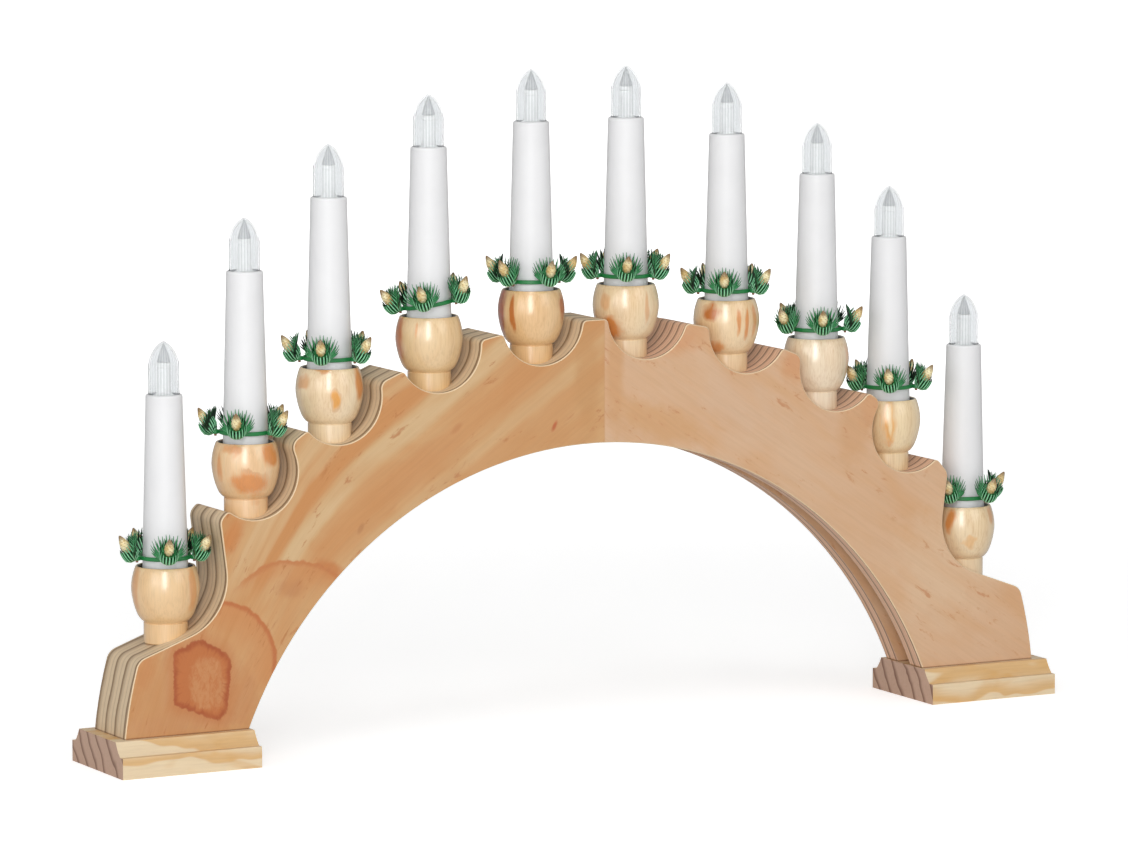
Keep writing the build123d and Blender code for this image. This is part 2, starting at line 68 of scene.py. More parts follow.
lens = bpy.data.cameras.new("camera")
lens.sensor_width = SENSOR_MM
lens.lens = FOCAL_PIXELS / PHOTO_SIZE[0] * SENSOR_MM
camera = bpy.data.objects.new("camera", lens)
camera.location = CAMERA_PLACE
camera.rotation_euler = (CAMERA_TARGET - CAMERA_PLACE).to_track_quat("-Z", "Y").to_euler()
bpy.context.collection.objects.link(camera)
bpy.context.scene.camera = camera
print("lens", round(lens.lens, 1), "mm, distance", round((CAMERA_TARGET - CAMERA_PLACE).length, 3), "m")

# %% [markdown]
# ## Helpers for finishes
# A finish is a small net of nodes. The helper below adds one node with each call and hands
# back what comes out of it. A number comes back as a Value, and a sum with a Value adds the
# node that does the sum, so that a pattern reads like one. All patterns are laid out in
# millimetres in the object's own space, which stays put when a piece moves.

# %% Helpers that add nodes
finishes = {}


class Value:
    """A number that a node hands out. A sum with it adds the node that does the sum."""

    def __init__(self, net, socket):
        self.net, self.socket = net, socket

    def __add__(self, other):
        return self.net.math("ADD", self, other)

    def __radd__(self, other):
        return self.net.math("ADD", other, self)

    def __sub__(self, other):
        return self.net.math("SUBTRACT", self, other)

    def __mul__(self, other):
        return self.net.math("MULTIPLY", self, other)

    def __truediv__(self, other):
        return self.net.math("DIVIDE", self, other)

    def __abs__(self):
        return self.net.math("ABSOLUTE", self)


class Net:
    """A net of nodes, put together node by node."""

    def __init__(self, tree):
        self.tree = tree
        self.tree.nodes.clear()

    def node(self, kind, inputs=None, **settings):
        node = self.tree.nodes.new(kind)
        for name, value in settings.items():
            setattr(node, name, value)
        for name, value in (inputs or {}).items():
            self.put(node.inputs[name], value)
        return node

    def put(self, socket, value):
        if isinstance(value, Value):
            value = value.socket
        if isinstance(value, bpy.types.NodeSocket):
            self.tree.links.new(value, socket)
        else:
            socket.default_value = value

    def math(self, operation, a, b=0.0, c=0.0):
        return Value(self, self.node("ShaderNodeMath", {0: a, 1: b, 2: c}, operation=operation).outputs[0])

    def reach(self, u, v):
        """How long the way is that goes u one way and v across it."""
        return self.math("SQRT", u * u + v * v)

    def vector(self, x, y, z):
        return self.node("ShaderNodeCombineXYZ", {0: x, 1: y, 2: z}).outputs[0]

    def vector_math(self, operation, a, b):
        return self.node("ShaderNodeVectorMath", {0: a, 1: b}, operation=operation).outputs[0]

    def length(self, vector):
        node = self.node("ShaderNodeVectorMath", {0: vector}, operation="LENGTH")
        return Value(self, node.outputs["Value"])

    def parts(self, vector):
        return [Value(self, part) for part in self.node("ShaderNodeSeparateXYZ", {0: vector}).outputs]

    def noise(self, vector, scale=1.0, detail=2.0, roughness=0.5, twist=0.0):
        inputs = {"Vector": vector, "Scale": scale, "Detail": detail}
        inputs.update({"Roughness": roughness, "Distortion": twist})
        return Value(self, self.node("ShaderNodeTexNoise", inputs).outputs[0])

    def own(self, name):
        """A share that a mesh keeps on its points."""
        return self.node("ShaderNodeAttribute", attribute_name=name).outputs["Fac"]

    def step(self, value, low, high, start=0.0, end=1.0):
        """A soft step from start to end as the value goes from low to high."""
        inputs = {0: value, 1: low, 2: high, 3: start, 4: end}
        node = self.node("ShaderNodeMapRange", inputs, interpolation_type="SMOOTHSTEP")
        return Value(self, node.outputs[0])

    def blend(self, share, a, b):
        return self.node("ShaderNodeMix", {0: share, 6: a, 7: b}, data_type="RGBA").outputs[2]

    def bump(self, height, distance, strength=1.0):
        inputs = {"Height": height, "Distance": distance * MM, "Strength": strength}
        return self.node("ShaderNodeBump", inputs).outputs[0]


class Finish(Net):
    """A material round one surface, kept under its name in finishes when it is done."""

    def __init__(self, name):
        self.name, self.material = name, bpy.data.materials.new(name)
        self.material.use_nodes = True
        super().__init__(self.material.node_tree)
        self.surface = self.node("ShaderNodeBsdfPrincipled")
        self.node("ShaderNodeOutputMaterial", {"Surface": self.surface.outputs["BSDF"]})
        coordinates = self.node("ShaderNodeTexCoord").outputs
        self.normal = coordinates["Normal"]
        inputs = {"Vector": coordinates["Object"], "Scale": (1 / MM, 1 / MM, 1 / MM)}
        self.place = self.node("ShaderNodeMapping", inputs).outputs[0]

    def done(self, **inputs):
        for name, value in inputs.items():
            self.put(self.surface.inputs[name.replace("_", " ")], value)
        finishes[self.name] = self.material


def shade(red, green, blue):
    """A colour as the eye names it, 0 to 255, turned into the light it stands for."""
    light = []
    for value in (red, green, blue):
        share = value / 255
        light.append(share / 12.92 if share <= 0.04045 else ((share + 0.055) / 1.055) ** 2.4)
    return (*light, 1.0)


# %% [markdown]
# ## The pine of the board
# Pine is a stack of growth rings. In this board they lie almost flat behind the face, so
# the cut edges show them as a few dark lines that follow the outline, and the face shows
# only broad, soft bands that climb along the grain. Near the left foot the grain steepens,
# and there sit the marks that make this board this board: a big knot with seven sides, a
# bow of resin round it, and the upper rim of a second knot that lies just under the face.

# %% Parts of a board pattern
BANDS_FADE = (60.0, 84.0)
RESIN_LINE = 2.2
ROUNDING = 0.14


def grain_frame(f, x, z, lean, bend_from, bend):
    """Distances along and across the grain, which leans and steepens beyond bend_from."""
    turn = radians(lean)
    past = f.math("MINIMUM", x - bend_from, 0.0)
    along = x * cos(turn) + z * sin(turn)
    across = z * cos(turn) - x * sin(turn)
    return along, across + past * past * bend


def lay_bands(f, colour, across, z, bands):
    """Soft bands along the grain, each at its distance across it. They end above the knots."""
    fade = f.step(z, *BANDS_FADE)
    for place, half, share, tone in bands:
        strength = f.step(abs(across - place), half * 0.45, half * 1.25, share, 0.0) * fade
        colour = f.blend(strength, colour, tone)
    return colour


def lay_patches(f, colour, x, z, ragged, patches):
    """Soft oval patches on the face: place, half sizes, turn, share and tone of each."""
    for place, size, leaning, share, tone in patches:
        turn = radians(leaning)
        dx, dz = x - place[0], z - place[1]
        u = dx * cos(turn) + dz * sin(turn)
        v = dz * cos(turn) - dx * sin(turn)
        away = f.reach(u / size[0], v / size[1]) + (ragged - 0.5) * 0.9
        colour = f.blend(f.step(away, 0.35, 1.15, share, 0.0), colour, shade(*tone))
    return colour


def lay_bow(f, colour, x, z, ragged, bow):
    """A bow of resin: sharp and dark on its outer side, fading inwards."""
    dx, dz = x - bow["at"][0], z - bow["at"][1]
    away = f.reach(dx, dz) + (ragged - 0.5) * bow["ragged"]
    radius, turn = bow["radius"], radians(bow["towards"])
    facing = dx * (cos(turn) / radius) + dz * (sin(turn) / radius)
    sector = f.step(facing, bow["spread"] - 0.22, bow["spread"] + 0.1)
    inside = f.step(away, radius, radius + 0.9, 1.0, 0.0)
    glow = f.step(away, radius - bow["depth"], radius) * inside
    line = f.step(away, radius - RESIN_LINE, radius - 0.4) * inside
    colour = f.blend(glow * sector * bow["glow_share"], colour, bow["glow"])
    return f.blend(line * sector * bow["line_share"], colour, bow["line"])


def lay_knot(f, colour, x, z, ragged, knot):
    """A knot with flat sides: dark thin rim, orange band within, pale and speckled heart."""
    dx, dz = x - knot["at"][0], z - knot["at"][1]
    away = 0.0
    for angle, distance in knot["sides"]:
        nx, nz = cos(radians(angle)) / distance, sin(radians(angle)) / distance
        away = f.math("SMOOTH_MAX", away, dx * nx + dz * nz, ROUNDING)
    reach = f.math("SQRT", dx * dx + dz * dz + 0.5)
    spoke = f.noise(f.vector(dx / reach, dz / reach, away * 0.25), scale=7.0, detail=3.0, roughness=0.6)
    away = away + (ragged - 0.5) * 0.22 + (spoke - 0.5) * 0.16
    heart_reach = f.reach((dx - 2.5) / 9.0, (dz + 1.5) / 12.0) + (ragged - 0.5) * 1.1
    speck = f.noise(f.vector(dx, dz * 0.5, 0.0), scale=0.5, detail=5.0, roughness=0.7, twist=0.9)
    heart = f.blend(f.step(speck, 0.40, 0.66, 0.0, 0.75), knot["heart"], knot["band"])
    inside = f.blend(f.step(heart_reach, 0.7, 1.05), heart, knot["band"])
    crack = f.step(spoke, 0.5, 0.7) * f.step(away, 0.55, 0.9)
    inside = f.blend(crack * 0.4, inside, knot["rim"])
    colour = f.blend(f.step(away, 0.96, 1.5, 0.5, 0.0), colour, knot["band"])
    colour = f.blend(f.step(away, 0.96, 1.03, 1.0, 0.0), colour, inside)
    rim = f.step(away, 0.8, 0.98) * f.step(away, 1.0, 1.06, 1.0, 0.0)
    rim = rim * f.step(ragged, 0.3, 0.6, 0.55, 1.0)
    return f.blend(rim * 0.9, colour, knot["rim"])


# %% Pine board finish
HALF_BOARD = 15.0
SEAM_X = 4.2
FOOT_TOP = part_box("foot_left")[1][2] / MM
GROOVE_HALF = 5.05
OPENING_CENTRE_Z = -50.1
OPENING_RADIUS = 170.5
GROOVE_RADIUS = 182.5


def pine_board(name, tones, edge, ring_step, ring_start, grain, bands=(), patches=(), bows=(), knot=None):
    """Pine with faces across Y. tones are base, pale, warm and fleck; edge is pale and line."""
    f = Finish(name)
    x, y, z = f.parts(f.place)
    along, across = grain_frame(f, x, z, *grain)
    swell_at = f.vector(along * 0.014, y * 0.01, across * 0.036)
    swell = f.noise(swell_at, twist=0.4)
    ragged = f.noise(f.vector(x, y, z), scale=0.16, detail=4.0, roughness=0.6)
    broad = f.noise(swell_at, scale=1.7, detail=3.0, twist=0.7)
    streak = f.noise(f.vector(along * 0.03, y * 0.2, across * 0.13), detail=3.0)
    fleck = f.noise(f.vector(along * 0.1, y * 0.2, across * 0.3), detail=4.0, roughness=0.7, twist=0.5)
    fleck_zone = f.step(f.noise(swell_at, scale=2.6, detail=1.0), 0.45, 0.6)

    colour = f.blend(f.step(broad, 0.42, 0.66, 0.0, 0.55), tones[0], tones[1])
    colour = f.blend(f.step(swell, 0.50, 0.70, 0.0, 0.8), colour, tones[2])
    wavy = across + (broad - 0.5) * 7.0
    colour = lay_bands(f, colour, wavy, z, bands)
    colour = lay_patches(f, colour, x, z, ragged, patches)
    colour = f.blend(f.step(streak, 0.42, 0.72, 0.0, 0.35), colour, tones[2])
    for bow in bows:
        colour = lay_bow(f, colour, x, z, ragged, bow)
    marks = f.step(fleck, 0.565, 0.68) * fleck_zone
    colour = f.blend(marks * 0.68, colour, tones[3])
    if knot:
        colour = lay_knot(f, colour, x, z, ragged, knot)
    seam_line = f.step(abs(x - SEAM_X), 0.15, 0.45, 0.35, 0.0)
    colour = f.blend(seam_line, colour, shade(200, 150, 104))

    facing = abs(f.parts(f.normal)[1])
    on_edge = f.step(facing, 0.80, 0.90, 1.0, 0.0)
    # The chamfered arris is painted pale, as a painted highlight on the rounded edge.
    arris_highlight = f.step(facing, 0.45, 0.6) * on_edge
    wander = f.noise(f.vector(x * 0.03, y * 0.02, z * 0.03))
    depth = (y - ring_start) / ring_step + wander * 0.55
    ring = f.math("FRACT", depth)
    late = f.step(ring, 0.45, 0.94) * f.step(ring, 0.95, 0.99, 1.0, 0.0)
    late = late * late
    thin = f.math("FRACT", depth * 3.0)
    thin = f.step(thin, 0.6, 0.92) * f.step(thin, 0.93, 1.0, 0.3, 0.0)
    edge_colour = f.blend(f.math("MAXIMUM", late * 0.9, thin), edge[0], edge[1])
    # Next to each arris the edge is painted darker, as painted shade of the rounded edge.
    arris_shade = f.step(abs(y), HALF_BOARD - 1.0, HALF_BOARD - 0.5, 0.0, 0.7)
    edge_colour = f.blend(arris_shade, edge_colour, edge[1])
    up = z - OPENING_CENTRE_Z
    radius = f.reach(x, up)
    in_groove = f.step(radius, OPENING_RADIUS + 0.2, OPENING_RADIUS + 1.0)
    in_groove = in_groove * f.step(radius, GROOVE_RADIUS + 0.2, GROOVE_RADIUS + 0.6, 1.0, 0.0)
    in_groove = in_groove * f.step(abs(y), GROOVE_HALF, GROOVE_HALF + 0.2, 1.0, 0.0)
    edge_colour = f.blend(in_groove * 0.8, edge_colour, shade(240, 180, 118))
    colour = f.blend(on_edge, colour, edge_colour)
    colour = f.blend(arris_highlight * 0.9, colour, shade(240, 214, 176))
    # A dark line along the foot of the board, where it sits on the foot: the joint, with painted contact
    # shade.
    joint_and_contact_shade = f.step(z, FOOT_TOP + 0.15, FOOT_TOP + 0.75, 0.75, 0.0)
    colour = f.blend(joint_and_contact_shade, colour, shade(112, 70, 44))

    fibre = f.noise(f.vector(along * 0.05, y * 1.1, across * 1.1), detail=4.0, roughness=0.6)
    colour = f.blend(f.step(fibre, 0.35, 0.75, 0.0, 0.08), colour, shade(136, 88, 50))
    relief = fibre * 0.5 + late * on_edge * 0.5
    f.done(
        Base_Color=colour,
        Roughness=f.step(fibre, 0.3, 0.7, 0.4, 0.5) + on_edge * 0.12,
        Normal=f.bump(relief, 0.10, 0.45),
        Coat_Weight=0.10,
        Coat_Roughness=0.3,
    )


# %% The two boards
PALE_BAND, TAN_BAND = shade(214, 183, 138), shade(201, 137, 79)
pine_board(
    "pine_left",
    tones=(shade(205, 154, 103), shade(211, 170, 121), shade(200, 143, 88), shade(182, 112, 62)),
    edge=(shade(222, 198, 164), shade(128, 100, 70)),
    ring_step=8.8,
    ring_start=-1.4,
    grain=(35.0, -105.0, 0.0084),
    bands=[
        (157.0, 5.5, 0.85, PALE_BAND), (129.5, 3.6, 0.4, PALE_BAND), (183.5, 6.5, 0.65, PALE_BAND),
        (173.5, 3.0, 0.35, PALE_BAND), (167.5, 4.6, 0.7, TAN_BAND), (142.0, 6.0, 0.45, TAN_BAND),
    ],
    patches=[
        ((-204.0, 41.0), (6.5, 12.0), -14.0, 0.8, (203, 136, 82)),
        ((-194.0, 40.0), (3.6, 20.0), -4.0, 0.5, (208, 170, 126)),
        ((-192.0, 19.0), (30.0, 5.5), 0.0, 0.5, (204, 152, 110)),
        ((-152.6, 108.0), (5.0, 11.0), -28.0, 0.8, (184, 122, 76)),
        ((-165.0, 93.0), (4.4, 9.5), -28.0, 0.95, (202, 132, 74)),
        ((-121.5, 76.5), (8.5, 4.4), -32.0, 0.85, (196, 122, 68)),
        ((-19.0, 128.9), (1.2, 3.0), -28.0, 0.95, (188, 96, 58)),
        ((-107.7, 92.1), (1.3, 3.2), -30.0, 0.6, (178, 120, 76)),
        ((-64.1, 130.4), (1.6, 4.0), -50.0, 0.5, (190, 124, 76)),
        ((-78.0, 116.0), (24.0, 9.0), 33.0, 0.45, (201, 146, 96)),
        ((-98.0, 142.7), (5.0, 3.0), 33.0, 0.7, (208, 146, 92)),
        ((-160.0, 28.0), (8.0, 16.0), 0.0, 0.55, (194, 128, 80)),
        ((-190.0, 30.0), (34.0, 24.0), 0.0, 0.6, (196, 138, 88)),
        ((-4.0, 148.0), (7.0, 30.0), 0.0, 0.7, (199, 149, 97)),
        ((-139.0, 70.0), (7.0, 5.0), 0.0, 0.5, (186, 122, 76)),
    ],
    bows=[
        {"at": (-171.5, 41.0), "radius": 25.6, "towards": 42.0, "spread": 0.35, "depth": 22.0, "ragged": 3.0,
         "glow": shade(203, 138, 84), "glow_share": 0.85, "line": shade(188, 106, 58), "line_share": 0.8},
        {"at": (-139.5, 46.5), "radius": 34.8, "towards": 80.0, "spread": 0.72, "depth": 16.0, "ragged": 5.0,
         "glow": shade(202, 138, 84), "glow_share": 0.8, "line": shade(190, 112, 64), "line_share": 0.55},
    ],
    knot={
        "at": (-178.3, 36.0),
        "sides": [(180, 12.5), (249, 13.2), (313, 16.7), (353, 12.0), (28, 13.4), (60, 13.8), (110, 15.7)],
        "heart": shade(200, 138, 88), "band": shade(190, 112, 60), "rim": shade(166, 80, 40),
    },
)
pine_board(
    "pine_right",
    tones=(shade(215, 175, 138), shade(218, 183, 150), shade(212, 162, 115), shade(194, 128, 82)),
    edge=(shade(230, 188, 156), shade(116, 80, 62)),
    ring_step=5.2,
    ring_start=-2.0,
    grain=(-34.0, -400.0, 0.0),
    patches=[
        ((37.6, 161.2), (14.0, 8.0), 0.0, 0.7, (212, 152, 106)),
        ((94.7, 148.5), (9.0, 10.0), 0.0, 0.7, (210, 148, 100)),
        ((131.6, 127.9), (8.0, 11.0), 0.0, 0.6, (208, 150, 102)),
        ((29.0, 127.5), (26.0, 9.0), -20.0, 0.7, (208, 158, 108)),
        ((122.7, 118.0), (9.0, 18.0), 0.0, 0.5, (206, 154, 106)),
        ((67.2, 133.0), (26.0, 14.0), -30.0, 0.5, (216, 184, 155)),
        ((170.0, 60.0), (30.0, 34.0), -50.0, 0.7, (222, 190, 156)),
        ((9.0, 150.0), (5.0, 30.0), 0.0, 0.85, (208, 159, 113)),
    ],
)
print("finishes", list(finishes))

# %% [markdown]
# ## The pine of the feet and the turned cups
# The feet are sawn from a straight moulding: the grain runs along them, so the front shows
# long golden streaks and the square ends show the rings as slanting lines. The cups are
# turned with the grain upright and lacquered, and cut through the rings in tall flames.

# %% Finishes of the feet and the cups
MOULDING_RINGS = 7.9
MOULDING_TILT = radians(33.0)


def pine_moulding(name, side, streak, end, line):
    """Pine with the grain along X and its rings aslant: side is seen along it, end across it."""
    f = Finish(name)
    x, y, z = f.parts(f.place)
    slant = y * cos(MOULDING_TILT) - z * sin(MOULDING_TILT)
    swell_at = f.vector(x * 0.022, y * 0.035, z * 0.05)
    swell = f.noise(swell_at, twist=0.4)
    ring = f.math("FRACT", slant / MOULDING_RINGS + swell * 1.5)
    late = f.step(ring, 0.5, 0.9) * f.step(ring, 0.93, 0.99, 1.0, 0.0)
    on_end = f.step(abs(f.parts(f.normal)[0]), 0.75, 0.9)
    fibre = f.noise(f.vector(x * 0.06, y, z), detail=4.0, roughness=0.6)
    gold = f.step(f.noise(swell_at, scale=1.6, twist=0.8), 0.52, 0.66)
    side_colour = f.blend(gold * 0.55, side, streak)
    side_colour = f.blend(late * 0.72, side_colour, streak)
    end_colour = f.blend(late * late * 0.9, end, line)
    colour = f.blend(on_end, side_colour, end_colour)
    colour = f.blend(f.step(fibre, 0.35, 0.75, 0.0, 0.12), colour, shade(140, 92, 46))
    f.done(
        Base_Color=colour,
        Roughness=0.42 + on_end * 0.16,
        Normal=f.bump(fibre, 0.08, 0.45),
        Coat_Weight=0.1,
        Coat_Roughness=0.3,
    )


def turned_pine(name, pale, warm, line, bore_shade, patches):
    """Lacquered turned pine with its patches. The share inside is 1 in the bore, which is painted near black
    as shade.
    """
    f = Finish(name)
    x, y, z = f.parts(f.place)
    swell = f.noise(f.vector(x * 0.05, y * 0.05, z * 0.018), twist=0.3)
    slant = x * 0.45 + y * 0.89
    ring = f.math("FRACT", slant / 4.6 + swell * 3.0)
    late = f.step(ring, 0.5, 0.88) * f.step(ring, 0.9, 0.98, 1.0, 0.0)
    fibre = f.noise(f.vector(x * 1.6, y * 1.6, z * 0.09), detail=3.0, roughness=0.6)
    colour = f.blend(f.step(swell, 0.38, 0.66), pale, warm)
    colour = f.blend(late * 0.26, colour, line)
    aside = f.noise(f.vector(x * 0.2, y * 0.2, z * 0.06)) - 0.5
    upwards = f.noise(f.place, scale=0.13) - 0.5
    adrift = f.vector_math("ADD", f.place, f.vector(aside * 6.0, aside * -3.0, upwards * 9.0))
    for at, size, share, tone, edge in patches:
        shaped = f.vector_math("DIVIDE", f.vector_math("SUBTRACT", adrift, at), size)
        away = f.length(shaped) + (fibre - 0.5) * 0.5
        colour = f.blend(f.step(away, 0.45, 1.05, min(1.0, 1.2 * share), 0.0), colour, tone)
        if edge:
            rim = f.step(away, 0.66, 0.9) * f.step(away, 0.92, 1.06, edge, 0.0)
            colour = f.blend(rim * f.step(swell, 0.4, 0.56), colour, shade(186, 108, 56))
    colour = f.blend(f.step(fibre, 0.4, 0.75, 0.0, 0.16), colour, shade(150, 96, 48))
    # Painted shade: the bore inside the mouth is made near black.
    colour = f.blend(f.own("inside"), colour, bore_shade)
    f.done(
        Base_Color=colour,
        Roughness=0.3 + fibre * 0.06,
        Normal=f.bump(fibre, 0.03, 0.35),
        Specular_IOR_Level=0.15,
        Coat_Weight=1.0,
        Coat_IOR=1.9,
        Coat_Roughness=0.27,
    )


pine_moulding(
    "foot_pine",
    side=shade(232, 211, 176),
    streak=shade(216, 168, 100),
    end=shade(198, 164, 142),
    line=shade(126, 88, 70),
)
print("foot finish made")

# %% [markdown]
# ## Helpers for modelling
# Round things are modelled as on a lathe: a point is extruded along the profile and the
# profile is spun once about its axis. Everything that repeats is modelled once and copied,
# each copy with its own mesh, and the place of a piece is put into its mesh.

# %% Lathe and copy helpers
def deselect():
    """An operator acts on all that is selected, so this comes before each."""
    bpy.ops.object.select_all(action="DESELECT")


def only(piece):
    """Selects one piece and makes it the active one."""
    deselect()
    piece.select_set(True)
    bpy.context.view_layer.objects.active = piece


def named(name):
    """The piece that was just added, under its name."""
    piece = bpy.context.object
    piece.name = piece.data.name = name
    return piece


def edit():
    """Opens the mesh of the active piece, with all of it selected."""
    bpy.ops.object.mode_set(mode="EDIT")
    bpy.ops.mesh.select_all(action="SELECT")


def turned(name, profile, sides=48, crease=35.0):
    """Spins a profile of radius and height in millimetres about the Z axis."""
    deselect()
    start_r, start_z = profile[0]
    bpy.ops.mesh.primitive_plane_add(size=MM, location=(0, 0, 0))
    piece = named(name)
    edit()
    bpy.ops.mesh.merge(type="CENTER")
    bpy.ops.transform.translate(value=(start_r * MM, 0, start_z * MM))
    for (r0, z0), (r1, z1) in zip(profile, profile[1:]):
        step = ((r1 - r0) * MM, 0, (z1 - z0) * MM)
        bpy.ops.mesh.extrude_region_move(TRANSFORM_OT_translate={"value": step})
    bpy.ops.mesh.select_all(action="SELECT")
    bpy.ops.mesh.spin(steps=sides, angle=2 * pi, center=(0, 0, 0), axis=(0, 0, 1))
    bpy.ops.mesh.select_all(action="SELECT")
    bpy.ops.mesh.remove_doubles(threshold=0.002 * MM)
    bpy.ops.mesh.normals_make_consistent(inside=False)
    bpy.ops.object.mode_set(mode="OBJECT")
    bpy.ops.object.shade_smooth_by_angle(angle=radians(crease))
    return piece


def off_axis(vertex):
    """How far a point is from the Z axis."""
    return sqrt(vertex.co.x**2 + vertex.co.y**2)


def column_of(vertex, columns):
    """Which of the even columns round the Z axis a point is in."""
    return round(atan2(vertex.co.y, vertex.co.x) / (2 * pi / columns))


def squeeze(vertex, share):
    """Brings a point to this share of its distance from the Z axis."""
    vertex.co.x *= share
    vertex.co.y *= share


def mark(piece, name, values):
    """Keeps a share on each point of a piece, for its finish to read."""
    piece.data.attributes.new(name, "FLOAT", "POINT").data.foreach_set("value", values)


def copy_of(piece, name, place):
    """A copy with its own mesh, put in its place by a matrix."""
    twin = bpy.data.objects.new(name, piece.data.copy())
    twin.data.name = name
    twin.data.transform(place)
    bpy.context.collection.objects.link(twin)
    return twin


def joined(pieces, name):
    """Several pieces made one mesh."""
    only(pieces[0])
    for piece in pieces[1:]:
        piece.select_set(True)
    bpy.ops.object.join()
    whole = named(name)
    deselect()
    return whole


def give(piece, finish, body, slot, *nodes):
    """Finish and body of a piece, and the CAD nodes it stands for. Its slot is not used."""
    piece.data.materials.clear()
    piece.data.materials.append(finishes[finish])
    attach(piece, body)
    if nodes:
        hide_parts(*nodes)


def shift(x, z):
    return Matrix.Translation((x * MM, 0, z * MM))


def spun(angle, axis="Z"):
    return Matrix.Rotation(radians(angle), 4, axis)


# %% [markdown]
# ## Where the candles stand
# The seats follow the crown of the arch, a little unevenly, as drilled by hand. Each wreath
# ring has its own turn, and the fourth hangs askew.

# %% Places of the candles and rings
candle_x = (-187.6, -151.8, -114.2, -69.0, -22.0, 22.2, 70.0, 113.5, 148.8, 186.2)
rim_z = (81.0, 128.9, 157.0, 175.5, 184.1, 184.1, 175.5, 157.0, 128.9, 81.0)
ring_turns = (-108.0, -131.0, -130.0, -122.0, -155.0, -121.0, -124.0, -108.0, -114.0, -144.0)
ring_lifts = (0.0, 0.4, 0.0, 1.2, 0.0, 0.0, 0.0, 0.0, 1.8, 0.0)
ring_shifts = (-0.3, 0.0, 0.0, 0.0, 0.0, 0.0, 0.0, 0.0, 0.0, 0.45)
ASKEW_RING = 3
ASKEW_TILT = 9.5
ASKEW_FACING = -118.0
BAND_LIFT = 2.8
numbers = [f"{i + 1:02d}" for i in range(len(candle_x))]


def ring_place(i):
    place = shift(candle_x[i] + ring_shifts[i], rim_z[i] + BAND_LIFT + ring_lifts[i])
    if i == ASKEW_RING:
        place = place @ spun(ASKEW_FACING) @ spun(ASKEW_TILT, "X") @ spun(ASKEW_FACING).inverted()
    return place @ spun(ring_turns[i])


# %% [markdown]
# ## The turned cups
# A cup is a ball on a short neck, turned from one blank: a thin lip round the mouth, a
# belly, and a fine parting line where the ball meets the neck. The profile is drawn once
# and spun, then copied to the ten seats.

# %% Cup
CUP_HEIGHT = 31.2
CUP_RADIUS = 13.8
BELLY_DROP = 9.0
VIEW = radians(-118.0)


def on_cup(i, side, height):
    """A place on a cup's belly, to the viewer's right and up, in shares of its radius."""
    front = sqrt(1 - side**2)
    x = candle_x[i] + CUP_RADIUS * (front * cos(VIEW) - side * sin(VIEW))
    y = CUP_RADIUS * (front * sin(VIEW) + side * cos(VIEW))
    return x, y, rim_z[i] - BELLY_DROP + height * CUP_RADIUS


# The deepest orange is used only on the left and right edges of the fifth cup, as painted shade.
ORANGE, RUST_EDGE_SHADE = shade(222, 144, 74), shade(168, 78, 26)
GOLD, BROWN, CREAM = shade(232, 162, 68), shade(196, 112, 44), shade(243, 214, 164)
WHOLE_CUP = (23.0, 23.0, 34.0)
cup_tones = (
    (238, 196, 142), (240, 196, 146), (248, 226, 190), (238, 204, 154), (240, 200, 148),
    (243, 218, 178), (244, 214, 170), (247, 231, 206), (244, 220, 176), (245, 222, 182),
)

